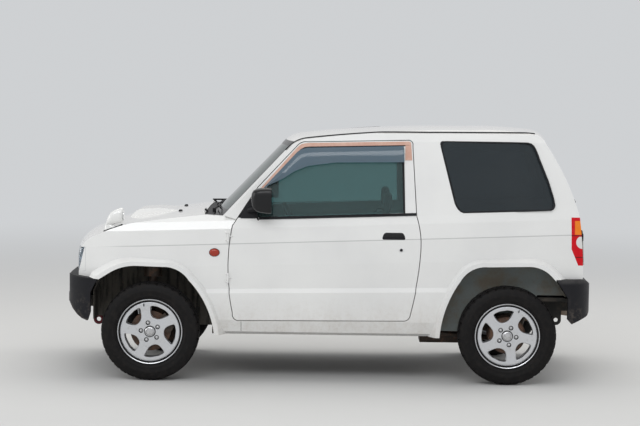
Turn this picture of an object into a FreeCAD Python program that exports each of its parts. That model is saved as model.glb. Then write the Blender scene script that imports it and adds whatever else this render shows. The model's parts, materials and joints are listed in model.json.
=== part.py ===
import FreeCAD, Part
import math
import os
import re
from FreeCAD import Placement, Rotation, Vector

# Frame: X runs from the nose (-X) to the tail (+X), -Y is the car's left side, Z is up from the ground.
doc = FreeCAD.newDocument("KeiCar")

# Driving sizes in mm: name, value, what it measures
size_rows = (
    ("bodyLength", 3395, "bumper to bumper"),
    ("bodyHeight", 1630, "ground to the top of the roof"),
    ("flareWidth", 1475, "over the wheel arch flares"),
    ("sideWidth", 1396, "over the door skins at the belt crease"),
    ("wheelBase", 2280, "between the axles"),
    ("trackWidth", 1290, "between the tyres' middle planes"),
    ("tyreRadius", 314, "hub to ground"),
    ("tyreWidth", 175, "section width of a tyre"),
    ("rimSeat", 190.5, "radius of the bead seat"),
    ("rimFlange", 208, "radius of the rim's flange"),
    ("rimWidth", 127, "between the bead seats' flanges"),
    ("sillHeight", 300, "underside of the sills"),
    ("bumperTop", 672, "top edge of the front bumper"),
    ("lampTop", 846, "top edge of a headlamp"),
    ("hoodLip", 876, "lower edge of the bonnet at the nose"),
    ("hoodFront", 137.5, "front edge of the bonnet's top, behind the nose"),
    ("hoodFrontHeight", 925, "height there"),
    ("cowlX", 800, "rear edge of the bonnet, ahead of the middle"),
    ("cowlHeight", 1077, "height of the bonnet's rear edge"),
    ("screenFoot", 745, "foot of the windscreen, ahead of the middle"),
    ("screenFootHeight", 1070, "height of the windscreen's foot"),
    ("screenHead", 300, "head of the windscreen, ahead of the middle"),
    ("screenHeadDrop", 98, "windscreen's head below the roof's top"),
    ("tailTop", 367.5, "rear edge of the roof, ahead of the tail"),
    ("tailTopDrop", 18, "its depth below the roof's top"),
    ("tailBelt", 72.5, "tailgate skin at belt height, ahead of the tail"),
    ("tailFace", 45.5, "tailgate skin low down, ahead of the tail"),
    ("beltHeight", 1078, "lower edge of the side windows"),
    ("wallLow", 95, "thickness of doors and sides below the belt"),
    ("wallHigh", 46, "thickness of frames and pillars above the belt"),
    ("hoodWall", 30, "thickness of the bonnet"),
    ("roofWall", 40, "thickness of the roof"),
    ("noseWall", 60, "thickness of the nose panel and the lamps"),
    ("tailWall", 72, "thickness of the tailgate"),
    ("bumperWall", 50, "thickness of a bumper shell"),
    ("shutGap", 5.5, "gap round a door, lid or bonnet"),
    ("glassWall", 6, "thickness of the glass"),
    ("hoodHalf", 592, "half width of the bonnet at its rear edge"),
    ("hoodHalfFront", 548, "half width of the bonnet at the nose"),
    ("roofHalf", 545, "half width of the roof panel between the rails"),
    ("floorHeight", 352, "underside of the cabin floor"),
    ("floorWall", 24, "thickness of the floor"),
    ("loadFloor", 520, "underside of the load floor over the rear axle"),
    ("bulkheadX", 690, "front face of the bulkhead, ahead of the middle"),
    ("linerFront", 385, "inner wall of a front wheelhouse from the middle"),
    ("linerRear", 532, "inner wall of a rear wheelhouse from the middle"),
    ("linerWall", 8, "thickness of a wheelhouse"),
    ("flareBand", 62, "width of a flare round its arch"),
    ("railWidth", 56, "width of a chassis rail"),
    ("railFrontY", 330, "middle of a rail at the front"),
    ("engineLength", 520, "length of the engine block"),
    ("steerTop", 860, "height of a strut's upper mount"),
    ("steerTopY", 490, "a strut's upper mount from the middle"),
    ("ballHeight", 215, "height of a lower ball joint"),
    ("ballY", 612, "a lower ball joint from the middle"),
    ("discRadius", 128, "radius of a front brake disc"),
    ("drumRadius", 118, "radius of a rear brake drum"),
    ("hubFace", 40, "wheel's mounting face outboard of its middle plane"),
    ("boltCircle", 57.15, "radius of the wheel bolts' circle"),
    ("boltHole", 7, "radius of a wheel bolt's hole"),
    ("hubBore", 33.5, "radius of the wheel's centre hole"),
    ("spindle", 20, "radius of a wheel's spindle"),
    ("runningFit", 0.3, "clearance of a shaft in its bearing"),
    ("axleTube", 36, "radius of the rear axle's tube"),
    ("towEye", 14, "radius of a tow eye's hole"),
    ("towPlate", 12, "thickness of a tow eye"),
    ("steerWheel", 182, "radius of the steering wheel"),
    ("steerGrip", 14, "radius of its rim"),
    ("steerY", 330, "steering wheel from the middle"),
    ("seatWidth", 470, "width of a front seat"),
    ("seatPitch", 330, "middle of a front seat from the car's middle"),
    ("tankLength", 290, "length of the fuel tank"),
    ("pipeRadius", 22, "radius of the exhaust pipe"),
)
sheet = doc.addObject("Spreadsheet::Sheet", "Sizes")
for line, (alias, value, note) in enumerate(size_rows, 1):
    sheet.set(f"A{line}", note)
    sheet.set(f"B{line}", str(value))
    sheet.setAlias(f"B{line}", alias)
doc.recompute()
aliases = [row[0] for row in size_rows]
pieces = []

front_x = -sheet.wheelBase / 2
rear_x = sheet.wheelBase / 2
wheel_y = sheet.trackWidth / 2
nose_x = -sheet.bodyLength / 2
tail_x = sheet.bodyLength / 2
side_half = sheet.sideWidth / 2
flare_half = sheet.flareWidth / 2
far = 2 * sheet.bodyLength
hood_front = nose_x + sheet.hoodFront
tail_top = tail_x - sheet.tailTop
tail_belt = tail_x - sheet.tailBelt
tail_face = tail_x - sheet.tailFace
screen_head = sheet.bodyHeight - sheet.screenHeadDrop

# The tables are drawn at these stations and heights, and follow the sheet's
drawn_stations = (-1697.5, -1140, 1140, 1697.5)
drawn_heights = (300, 1078, 1630)
sheet_stations = (nose_x, front_x, rear_x, tail_x)
sheet_heights = (sheet.sillHeight, sheet.beltHeight, sheet.bodyHeight)


def follow(value, drawn, wanted):
    """Where a drawn place or height goes at the sheet's sizes."""
    if value <= drawn[0]:
        return value - drawn[0] + wanted[0]
    for low, high, foot, top in zip(drawn, drawn[1:], wanted, wanted[1:]):
        if value <= high:
            return foot + (value - low) * (top - foot) / (high - low)
    return value - drawn[-1] + wanted[-1]


def along(x):
    return follow(x, drawn_stations, sheet_stations)


def up(z):
    return follow(z, drawn_heights, sheet_heights)


def side_view(path):
    """A table of the side view at the sheet's sizes."""
    return [tuple(up(value) if place % 2 else along(value) for place, value in enumerate(step)) for step in path]


def end_view(path):
    """A table of the front or rear view at the sheet's heights."""
    return [tuple(up(value) if place % 2 else value for place, value in enumerate(step)) for step in path]


def bind(thing, **bounds):
    """Ties properties of a document object to the sheet; double underscores stand for dots."""
    for name, text in bounds.items():
        named = re.sub(r"[a-zA-Z]\w*", lambda word: ("Sizes." if word[0] in aliases else "") + word[0], text)
        thing.setExpression(name.replace("__", "."), named)


def publish(thing, name):
    """Names a finished sub-part."""
    thing.Label = name
    pieces.append(thing)
    return thing


def feature(name, shape, place=None):
    """A sub-part whose shape is worked out from the sheet's values."""
    thing = doc.addObject("Part::Feature", name)
    thing.Shape = shape
    thing.Placement = place or Placement()
    return publish(thing, name)


def joined(name, members):
    """Document objects fused into one sub-part."""
    thing = doc.addObject("Part::MultiFuse", name)
    thing.Shapes = members
    return publish(thing, name)


def block(name, low, high):
    """A Part::Box from its low corner to its high corner, both given as expressions."""
    thing = doc.addObject("Part::Box", name)
    spans = [f"({top}) - ({foot})" for foot, top in zip(low, high)]
    bind(thing, Length=spans[0], Width=spans[1], Height=spans[2])
    bind(thing, Placement__Base__x=low[0], Placement__Base__y=low[1], Placement__Base__z=low[2])
    return thing


def rod(start, end, radius):
    """A round bar between two points."""
    start, end = Vector(start), Vector(end)
    return Part.makeCylinder(radius, (end - start).Length, start, end - start)


def both_sides(shape):
    """A shape and its mirror image across the car."""
    return Part.makeCompound([shape, mirrored(shape)])


def mirrored(shape):
    return shape.mirror(Vector(), Vector(0, 1, 0))


def at(plane, depth, a, b):
    """A point of a drawing: side view xz, front view yz or plan xy, at a depth."""
    return {"xz": Vector(a, depth, b), "yz": Vector(depth, a, b), "xy": Vector(a, b, depth)}[plane]


def wire(plane, depth, path):
    """A closed wire: a step (a, b) is a line to that point, (a, b, c, d) an arc through a, b to c, d."""
    first = path[0][-2:]
    here = at(plane, depth, *first)
    edges = []
    for step in list(path[1:]) + [first]:
        there = at(plane, depth, *step[-2:])
        if (there - here).Length > 0.01:
            if len(step) == 2:
                edges.append(Part.LineSegment(here, there).toShape())
            else:
                edges.append(Part.Arc(here, at(plane, depth, *step[:2]), there).toShape())
        here = there
    return Part.Wire(edges)


def prism(plane, low, high, path):
    """A drawing pulled straight from one depth to another."""
    face = Part.Face(wire(plane, low, path))
    return face.extrude(at(plane, high - low, 0, 0))


def grown(path, amount):
    """The drawing with every point moved outwards by amount, a number or a rule of its place."""
    points = [(step[k], step[k + 1]) for step in path for k in range(0, len(step), 2)]
    area = sum(p[0] * q[1] - q[0] * p[1] for p, q in zip(points, points[1:] + points[:1]))
    moved = []
    for number, here in enumerate(points):
        before, after = points[number - 1], points[(number + 1) % len(points)]
        normals = []
        for p, q in ((before, here), (here, after)):
            length = math.hypot(q[0] - p[0], q[1] - p[1])
            normals.append(((q[1] - p[1]) / length, -(q[0] - p[0]) / length))
        (nx, ny), (mx, my) = normals
        way = amount(*here) if callable(amount) else amount
        reach = way * math.copysign(1, area) / (1 + nx * mx + ny * my)
        moved.append((here[0] + reach * (nx + mx), here[1] + reach * (ny + my)))
    result, taken = [], 0
    for step in path:
        count = len(step) // 2
        result.append(tuple(value for pair in moved[taken:taken + count] for value in pair))
        taken += count
    return result


def tapered(plane, low, high, path, gap, slope, skin):
    """A plug whose drawing fits at the skin's depth, grown by gap, and narrows by slope going inwards."""
    sign = math.copysign(1, high)
    wires = []
    for depth in (low, high):
        wires.append(wire(plane, depth, grown(path, lambda a, b: gap + slope * (sign * depth - skin(a, b)))))
    return Part.makeLoft(wires, True, True)


# Body skin
# Half section from the sill up: offset from the door's half width, height and rise along the car
rail_height = sheet.bodyHeight - 38
lower_rows = (
    (-58, sheet.sillHeight - 5, 0),
    (-8, sheet.sillHeight + 20, 0),
    (14, sheet.sillHeight + 95, 0),
    (18, up(578), 0.018),
    (2, up(606), 0.018),
    (8, up(760), 0.03),
    (5, up(905), 0.038),
)
cabin_rows = lower_rows + (
    (-8, sheet.beltHeight - 76, 0.038),
    (-20, sheet.beltHeight - 24, 0.038),
    (-116, rail_height - 50, 0),
    (-142, rail_height, 0),
)
fender_rows = lower_rows + (
    (-4, up(1002), 0.038),
    (-24, up(1052), 0.038),
    (-78, up(1100), 0.038),
    (-200, up(1190), 0.038),
)
# Stations along the car: place and inset of the side there
fender_stations = ((nose_x - 20, 96), (front_x - 150, 16), (-sheet.cowlX, 2), (-500, 0))
cabin_stations = ((-920, 0), (0, -2), (rear_x - 200, 3), (tail_x + 20, 44))


def half_width(x, z):
    """Half width of the cabin's skin at a height."""
    rows = [(row[1] + row[2] * x, side_half + row[0]) for row in cabin_rows]
    for (low, wide), (high, narrow) in zip(rows, rows[1:]):
        if z <= high:
            return wide + (narrow - wide) * (z - low) / (high - low)
    return rows[-1][1]


def side_form(rows, stations, wall_low, wall_high):
    """The solid between the body's two sides, with the given walls taken off."""
    sections = []
    for x, inset in stations:
        half = []
        for offset, z, rise in rows:
            height = z + rise * x
            wall = wall_low if height < sheet.beltHeight else wall_high
            half.append((side_half + offset - inset - wall, height))
        if wall_low:
            half[0] = (half[1][0], sheet.sillHeight - 100)
        top = (0, sheet.bodyHeight + 120)
        ring = [(-y, z) for y, z in half] + [top] + [(y, z) for y, z in reversed(half)]
        sections.append(wire("yz", x, ring))
    return Part.makeLoft(sections, True, False)


def top_path(share):
    """Side outline of the body, share being how far out from the middle, as a square of the half width."""
    nose, screen, roof, tail, hood = 100 * share, 92 * share, 34 * share, 44 * share, 24 * share
    return [
        (nose_x + 70 + nose, sheet.sillHeight),
        (nose_x + 47 + nose * 0.65, up(420)),
        (nose_x + 40 + nose * 0.75, up(788)),
        (nose_x + 67 + nose * 0.87, up(872), hood_front + nose, sheet.hoodFrontHeight),
        (along(-1400) + nose / 2, up(985) - hood / 2, along(-1250), up(1023) - hood),
        (along(-1030), up(1052) - hood, -sheet.cowlX, sheet.cowlHeight - hood),
        (-sheet.screenFoot + screen, sheet.screenFootHeight - hood),
        (-sheet.screenHead + screen, screen_head - roof),
        (along(-262) + screen, screen_head + 24 - roof, along(-205) + screen, screen_head + 40 - roof),
        (along(300) + screen / 2, sheet.bodyHeight - 15 - roof, along(900), sheet.bodyHeight - 1.5 - roof),
        (along(1180), sheet.bodyHeight - 5 - roof, tail_top - tail, sheet.bodyHeight - sheet.tailTopDrop - roof),
        (tail_top + 42 - tail, sheet.bodyHeight - 34 - roof, tail_top + 68 - tail, sheet.bodyHeight - 68 - roof),
        (tail_belt - 85 - tail, up(1300), tail_belt - tail, sheet.beltHeight),
        (tail_face - 8 - tail, up(900), tail_face - tail, up(700)),
        (tail_face - 6 - tail, up(420)),
        (tail_face - 60 - tail, sheet.sillHeight),
    ]


def wall_at(x, z):
    """Wall of the body at a place of its side outline."""
    if x < hood_front - 40 and z < sheet.hoodFrontHeight:
        return sheet.noseWall
    if x < -sheet.screenFoot - 20:
        return sheet.hoodWall
    if x < along(-220):
        return sheet.wallHigh
    if x < tail_top + 15:
        return sheet.roofWall
    return sheet.tailWall


def top_form(hollow):
    """The solid under the body's side outline, crowned across the car, or the hollow inside it."""
    sections = []
    for y in (-sheet.flareWidth / 2 - 22, 0, sheet.flareWidth / 2 + 22):
        path = top_path((2 * y / (sheet.flareWidth + 44)) ** 2)
        if hollow:
            path = grown(path, lambda x, z: -wall_at(x, z))
            path[0] = (path[1][0], sheet.sillHeight - 90)
            path[-1] = (path[-2][0], sheet.sillHeight - 90)
        sections.append(wire("xz", y, path))
    return Part.makeLoft(sections, True, False)


outside, inside = top_form(False), top_form(True)
walls = (sheet.wallLow, sheet.wallHigh)
front_skin = outside.common(side_form(fender_rows, fender_stations, 0, 0))
cabin_skin = outside.common(side_form(cabin_rows, cabin_stations, 0, 0))
front_hollow = inside.common(side_form(fender_rows, fender_stations, *walls))
cabin_hollow = inside.common(side_form(cabin_rows, cabin_stations, *walls))
front_shell = front_skin.cut(front_hollow)
cabin_shell = cabin_skin.cut(cabin_hollow)

# Side view drawings of the wheel arches, about their wheel
front_arch = [
    (front_x + 415, sheet.sillHeight - 60),
    (front_x + 352, 500, front_x + 248, 647),
    (front_x + 183, 708, front_x + 80, 732),
    (front_x - 90, 737),
    (front_x - 190, 722, front_x - 262, 688),
    (front_x - 330, 645),
    (front_x - 372, 560),
    (front_x - 372, sheet.sillHeight - 60),
]
rear_arch = [
    (rear_x - 435, sheet.sillHeight - 60),
    (rear_x - 395, 490, rear_x - 305, 665),
    (rear_x - 235, 735, rear_x - 130, 757),
    (rear_x + 120, 763),
    (rear_x + 212, 746, rear_x + 280, 695),
    (rear_x + 305, 668),
    (rear_x + 372, 560),
    (rear_x + 372, sheet.sillHeight - 60),
]
arches = {"front": front_arch, "rear": rear_arch}
# Side view of what the bumpers take from the body
bumper_slope = 0.12
front_bumper_zone = [
    (front_x - 312, sheet.bumperTop - 26),
    (nose_x - 60, sheet.bumperTop - 26 + bumper_slope * (front_x - 252 - nose_x)),
    (nose_x - 60, 200),
    (front_x - 312, 200),
]
rear_bumper_zone = [
    (rear_x + 302, 682),
    (tail_x + 60, 682),
    (tail_x + 60, 200),
    (rear_x + 302, 200),
]
door_path = side_view([
    (-617, 998),
    (-643, 744, -612, 440),
    (-600, 404, -566, 395),
    (470, 406),
    (500, 414, 517, 446),
    (562, 690, 578, 859),
    (574, 960, 549, 1072),
    (521, 1515),
    (515, 1540, 492, 1548),
    (-150, 1530),
    (-190, 1524, -218, 1500),
    (-460, 1241),
])
door_window = side_view([
    (-452, 1050),
    (-560, 1058),
    (-480, 1165),
    (-205, 1468),
    (-185, 1484, -160, 1487),
    (440, 1506),
    (458, 1504, 462, 1488),
    (473, 1090),
])
quarter_window = side_view([
    (852, 1096),
    (1390, 1116),
    (1428, 1128, 1433, 1165),
    (1392, 1300, 1335, 1440),
    (1305, 1510, 1258, 1545),
    (722, 1548),
    (702, 1542, 701, 1520),
    (786, 1187),
    (808, 1128, 842, 1098),
])


def door_plug(gap):
    """What the left door takes from the body's side, with a gap round it."""
    return tapered("xz", -side_half + 210, -side_half - 70, door_path, gap, 0.15, half_width)


def window_plug(path, gap=0):
    """A window's opening in the left side."""
    return prism("xz", -side_half + 240, -side_half - 60, grown(path, gap))


def outer_layer(skin, zone, depth, way):
    """What a zone holds of the skin's outer layer, way being the way to its inner face."""
    inner = skin.copy()
    inner.translate(way * depth)
    return skin.common(zone).cut(inner)


def arch_plug(end, grow=0.0, low=None, high=None):
    """The space of a left wheel arch, between two distances from the car's middle."""
    low = sheet.linerFront if low is None else low
    high = flare_half + 60 if high is None else high
    return prism("xz", -high, -low, grown(arches[end], grow))


liner_zone = {
    "front": arch_plug("front", sheet.linerWall, sheet.linerFront - sheet.linerWall),
    "rear": arch_plug("rear", sheet.linerWall, sheet.linerRear - sheet.linerWall),
}


def flare(end):
    """The flare round a left wheel arch: a band that narrows as it stands out."""
    wide = grown(arches[end], sheet.flareBand)
    lip = grown(arches[end], sheet.flareBand * 0.42)
    cone = Part.makeLoft([wire("xz", -side_half + 30, wide), wire("xz", -flare_half, lip)], True, True)
    floor = Part.makeBox(far, 400, 400, Vector(-far / 2, -flare_half - 100, sheet.sillHeight - 400))
    return cone.cut(floor)


screen_low = sheet.screenFootHeight - 12
screen_frame = [(-606, screen_low), (606, screen_low), (528, screen_head), (-528, screen_head)]
tail_path = end_view([
    (-592, 701),
    (592, 701),
    (592, 1060),
    (528, 1535),
    (500, 1560),
    (-500, 1560),
    (-528, 1535),
    (-592, 1060),
])


def tail_skin(y, z):
    """How far back the tailgate's skin stands at a height."""
    if z < sheet.beltHeight:
        return tail_face - 28
    return tail_belt - 24 - (z - sheet.beltHeight) * 0.47


def tail_plug(gap):
    """What the tailgate takes from the body's rear, with a gap round it."""
    return tapered("yz", tail_x - 420, tail_x + 60, tail_path, gap, 0.26, tail_skin)


def half_space(left_of):
    """A large block of everything on the left of a distance from the middle."""
    return Part.makeBox(far, far, far, Vector(-far / 2, -far - left_of, -far / 2))


fender_zone = prism("xz", -far, far, [
    (nose_x - 60, 200),
    (along(-600), 200),
    (along(-600), up(1036)),
    (along(-690), up(1064)),
    (along(-690), sheet.cowlHeight + 200),
    (nose_x - 60, sheet.cowlHeight + 200),
])


def hood_zone(gap):
    """Plan of the bonnet, grown by a gap."""
    plan = [
        (-sheet.cowlX - 4 + gap, sheet.hoodHalf + gap),
        (nose_x - 60, sheet.hoodHalfFront + gap),
        (nose_x - 60, -sheet.hoodHalfFront - gap),
        (-sheet.cowlX - 4 + gap, -sheet.hoodHalf - gap),
    ]
    return prism("xy", sheet.hoodLip - gap, sheet.cowlHeight + 200, plan)


roof_front = along(-360)
roof_zone = Part.makeBox(tail_top + 70 - roof_front, 2 * sheet.roofHalf, 300,
                         Vector(roof_front, -sheet.roofHalf, up(1490)))
cowl_zone = Part.makeBox(143, 2 * 606, 300, Vector(-sheet.cowlX + 1.5, -606, sheet.cowlHeight - 199))
nose_zone = Part.makeBox(240, 1100, 400, Vector(nose_x - 20, -550, 620))
front_taken = prism("xz", -far, far, front_bumper_zone)
rear_taken = prism("xz", -far, far, rear_bumper_zone)
screen_plug = prism("yz", -sheet.screenFoot - 3, 150 - sheet.screenHead, screen_frame)

# Lamps: front view of the headlamp, side view of the tail lamp
head_path = [
    (-640, 690),
    (-352, 700),
    (-352, sheet.lampTop - 11),
    (-640, sheet.lampTop),
    (-720, sheet.lampTop),
    (-720, 690),
]
head_plug = prism("yz", nose_x - 40, nose_x + 137, head_path)
tail_lamp_path = [
    (tail_x - 159.5, up(1075)),
    (tail_x + 20, up(1075)),
    (tail_x + 20, up(769)),
    (tail_x - 111.5, up(769)),
    (tail_x - 156.5, up(874)),
]
tail_lamp_plug = prism("xz", -far, -592 - sheet.shutGap, tail_lamp_path)

# Panels of the body
left_front = front_shell.common(half_space(0))
left_cabin = cabin_shell.common(half_space(0))
side_zone = left_cabin.cut([fender_zone, roof_zone, screen_plug, cowl_zone, tail_plug(sheet.shutGap), rear_taken])
side_zone = side_zone.fuse(flare("rear").cut(rear_taken).cut(cabin_hollow))
body_side = side_zone.cut([
    door_plug(sheet.shutGap),
    window_plug(quarter_window),
    arch_plug("rear"),
    arch_plug("front"),
    tail_lamp_plug,
])
fender = left_front.common(fender_zone).fuse(flare("front").common(fender_zone).cut(front_hollow))
fender = fender.cut([
    hood_zone(sheet.shutGap),
    front_taken,
    arch_plug("front"),
    head_plug,
    door_plug(sheet.shutGap),
    nose_zone,
    cowl_zone,
])

# Fuel filler lid in the right side, behind the door
lid_x, lid_z, lid_half, lid_wall = rear_x - 210, up(905), 82, 14
lid_path = [
    (lid_x - lid_half, lid_z - lid_half),
    (lid_x + lid_half, lid_z - lid_half),
    (lid_x + lid_half, lid_z + lid_half),
    (lid_x - lid_half, lid_z + lid_half),
]
lid_zone = prism("xz", side_half - 60, side_half + 60, lid_path)
fuel_lid = outer_layer(cabin_skin, lid_zone, lid_wall, Vector(0, -1, 0))
lid_recess = prism("xz", side_half - 50, side_half + 60, grown(lid_path, sheet.shutGap))
filler_neck = rod((lid_x, side_half - 50, lid_z), (lid_x, side_half - 26, lid_z), 30)


def largest(shape):
    """The main solid of a cut, without the crumbs that a cut can leave."""
    return max(shape.Solids, key=lambda solid: solid.Volume)


# Hinges: a barrel on what moves, on a pin between two ears of what carries it
def hinge(point, way, moving, carrying, barrel, pin):
    """Barrel and ears of one hinge; moving and carrying run from its axis into the two pieces."""
    point, way = Vector(point), Vector(way)
    half = 3 * barrel
    hole = rod(point - way * half * 2, point + way * half * 2, pin + sheet.runningFit)
    turning = rod(point - way * (half - 1), point + way * (half - 1), barrel)
    turning = turning.fuse(rod(point, point + Vector(moving), barrel * 0.8)).cut(hole)
    ears = rod(point - way * half * 1.8, point + way * half * 1.8, pin)
    for side in (-1, 1):
        ear = point + way * side * half
        ears = ears.fuse(rod(ear, ear + way * side * half * 0.8, barrel))
        middle = ear + way * side * half * 0.4
        ears = ears.fuse(rod(middle, middle + Vector(carrying), barrel * 0.7))
    return turning, ears


def with_hinges(panel, carrier, rows):
    """A moving panel and its carrier with the hinges of a table fused to them."""
    for row in rows:
        turning, ears = hinge(*row)
        panel, carrier = panel.fuse(turning), carrier.fuse(ears)
    return panel, carrier


door_axis = Vector(along(-645), -side_half - 19.5, 0)
tail_axis = Vector(tail_x - 57.5, 594, 0)
lid_axis = Vector(lid_x - lid_half - 1.5, side_half + 19.5, lid_z)
hood_axis = Vector(-sheet.cowlX - 4.5, 0, sheet.cowlHeight + 8)
upright = Vector(0, 0, 1)
door_hinges = [(door_axis + upright * z, upright, (24, 22, 0), (-17, 22, 0), 6, 2.5) for z in (up(665), up(930))]
tail_hinges = [
    (tail_axis + upright * up(732), upright, (-24, -20, 0), (-24, 20, 0), 7, 3),
    (tail_axis + upright * up(1118), upright, (-66, -30, 0), (-66, 30, 0), 7, 3),
]
lid_hinges = [(lid_axis, upright, (14, -16, 0), (-14, -16, 0), 4, 1.5)]
hood_hinges = [(hood_axis + Vector(0, y, 0), Vector(0, 1, 0), (-16, 0, -26), (18, 0, -26), 6, 2.5)
               for y in (-470, 470)]

side_right = mirrored(body_side).cut(lid_recess).fuse(filler_neck)
fuel_lid, side_right = with_hinges(fuel_lid, largest(side_right), lid_hinges)
feature("fuel_lid", fuel_lid)
feature("body_side_left", largest(body_side))
door_form = left_cabin.common(door_plug(0)).cut(window_plug(door_window))
door_form, fender = with_hinges(largest(door_form), largest(fender), door_hinges)
feature("fender_left", fender)
feature("fender_right", mirrored(fender))
roof = cabin_shell.common(roof_zone).cut([
    screen_plug,
    tail_plug(sheet.shutGap),
    door_plug(sheet.shutGap),
    mirrored(door_plug(sheet.shutGap)),
])
feature("roof_panel", largest(roof))
cowl = cabin_shell.common(cowl_zone).cut(screen_plug)

# Bonnet with its raised air scoop
hood_layer = outer_layer(front_skin, hood_zone(0), sheet.hoodWall, Vector(1, 0, -1))
scoop_path = side_view([
    (-1340, 984),
    (-1302, 1030),
    (-1276, 1050, -1235, 1060),
    (-1130, 1066),
    (-975, 1052),
    (-975, 1030),
])
scoop_low, scoop_high = up(985), up(1068)
scoop_end = [(-215, scoop_low), (215, scoop_low), (146, scoop_high), (-146, scoop_high)]
scoop = prism("xz", -220, 220, scoop_path).common(prism("yz", along(-1360), along(-950), scoop_end))
scoop = scoop.cut(Part.makeBox(60, 270, 14, Vector(along(-1330), -135, up(1017))))
hood, cowl = with_hinges(largest(hood_layer.fuse(scoop)), largest(cowl), hood_hinges)
feature("bonnet", hood)
feature("cowl_panel", cowl)

# Nose panel with the openings of the grille and the lamps
grille_low, grille_high, grille_half = 716, 838, 330
grille_box = Part.makeBox(260, 2 * grille_half, grille_high - grille_low,
                          Vector(nose_x - 40, -grille_half, grille_low))
lip_box = Part.makeBox(600, far, 400, Vector(nose_x - 60, -far / 2, sheet.hoodLip - sheet.shutGap))
nose = front_shell.common(nose_zone).cut([front_taken, head_plug, mirrored(head_plug), grille_box, lip_box])
feature("nose_panel", largest(nose))
head_lamp = left_front.common(head_plug).cut([front_taken, lip_box])
feature("headlamps", both_sides(largest(head_lamp)))
tail_lamp = left_cabin.common(tail_lamp_plug)
feature("tail_lamps", both_sides(largest(tail_lamp)))
slats = []
slat_count = 5
slat_height = (grille_high - grille_low) / (2 * slat_count - 1)
grille_depth = front_shell.common(grille_box)
for number in range(slat_count):
    foot = grille_low + 2 * number * slat_height
    slats.append(Part.makeBox(300, 2 * grille_half, slat_height, Vector(nose_x - 40, -grille_half, foot)))
for y in (-grille_half, -110, 90, grille_half - 20):
    slats.append(Part.makeBox(300, 20, grille_high - grille_low, Vector(nose_x - 40, y, grille_low)))
feature("grille", largest(grille_depth.common(slats[0].multiFuse(slats[1:]))))


# Bumpers: the plan and the side view meet in one shell
def bumper(end_x, way, corner, side_path, cavity_top):
    """A bumper that wraps the car's corners; way is -1 at the nose and 1 at the tail."""
    plan = [
        (corner, -flare_half + 3),
        (corner + way * 60, -flare_half + 7),
        (end_x - way * 62, -flare_half + 70, end_x - way * 30, -flare_half + 210),
        (end_x, 0, end_x - way * 30, flare_half - 210),
        (end_x - way * 62, flare_half - 70, corner + way * 60, flare_half - 7),
        (corner, flare_half - 3),
    ]
    body = prism("xy", 200, 800, plan).common(prism("xz", -far, far, side_path))
    cavity = grown(plan, -sheet.bumperWall)
    cavity[0] = (cavity[0][0] - way * 200, cavity[0][1])
    cavity[-1] = (cavity[-1][0] - way * 200, cavity[-1][1])
    return largest(body.cut(prism("xy", 200, cavity_top, cavity)))


front_side = [
    (front_x - 312, sheet.bumperTop - 26),
    (nose_x + 36, sheet.bumperTop - 26 + bumper_slope * (front_x - 348 - nose_x)),
    (nose_x + 6, sheet.bumperTop - 18, nose_x, 603),
    (nose_x + 14, 480),
    (nose_x + 60, 396, nose_x + 140, 373),
    (front_x - 400, 373),
    (front_x - 340, 560),
]
rear_side = [
    (rear_x + 302, 682),
    (tail_x - 46, 682),
    (tail_x - 10, 672, tail_x, 641),
    (tail_x, 497),
    (tail_x - 12, 455, tail_x - 48, 443),
    (rear_x + 405, 398),
    (rear_x + 346, 463),
]
front_cover = bumper(nose_x, -1, front_x - 312, front_side, 628)
rear_cover = bumper(tail_x, 1, rear_x + 302, rear_side, 655)
feature("front_bumper", largest(front_cover.cut([liner_zone["front"], mirrored(liner_zone["front"]), front_hollow])))
feature("rear_bumper", largest(rear_cover.cut([liner_zone["rear"], mirrored(liner_zone["rear"]), cabin_hollow])))

# Glass
feature("windscreen", largest(outer_layer(cabin_skin, screen_plug, sheet.glassWall, Vector(1, 0, -1))))
quarter_pane = outer_layer(cabin_skin, window_plug(quarter_window), sheet.glassWall, Vector(0, 1, 0))
feature("quarter_glass", both_sides(largest(quarter_pane)))

# Doors: panel with its frame, pane and mirror
glass_inset = 14
door_pane = outer_layer(cabin_skin, window_plug(door_window), sheet.glassWall, Vector(0, 1, 0))
door_pane.translate(Vector(0, glass_inset, 0))
door_pane = door_pane.common(window_plug(door_window))
mirror_foot = half_width(along(-460), up(1090))
mirror_head = prism("xz", -mirror_foot - 165, -mirror_foot - 30, side_view([
    (-492, 1110), (-480, 1092, -455, 1088), (-385, 1088), (-368, 1095, -366, 1112),
    (-372, 1222), (-380, 1238, -400, 1240), (-430, 1238), (-462, 1225, -476, 1190),
]))
mirror_arm = prism("xz", -mirror_foot - 60, -mirror_foot + 26, side_view([
    (-500, 1096), (-430, 1092), (-410, 1120), (-450, 1150),
]))
mirror_reach = mirror_head.fuse(mirror_arm.cut(door_pane).cut(door_form))
for side, turn in (("left", lambda shape: shape), ("right", mirrored)):
    feature(f"door_{side}_panel", turn(door_form))
    feature(f"door_{side}_glass", largest(turn(door_pane)))
    feature(f"door_{side}_mirror", largest(turn(mirror_reach)))

# Tailgate and its pane
tail_window = end_view([(-470, 1108), (470, 1108), (446, 1460), (420, 1490), (-420, 1490), (-446, 1460)])
tail_window_plug = prism("yz", tail_x - 500, tail_x + 60, tail_window)
tailgate = cabin_shell.common(tail_plug(0)).cut([tail_window_plug, rear_taken])
tailgate, side_right = with_hinges(largest(tailgate), side_right, tail_hinges)
feature("tailgate_panel", tailgate)
feature("body_side_right", side_right)
tail_pane = outer_layer(cabin_skin, tail_window_plug, sheet.glassWall, Vector(-1, 0, 0))
feature("tailgate_glass", largest(tail_pane))

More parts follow.
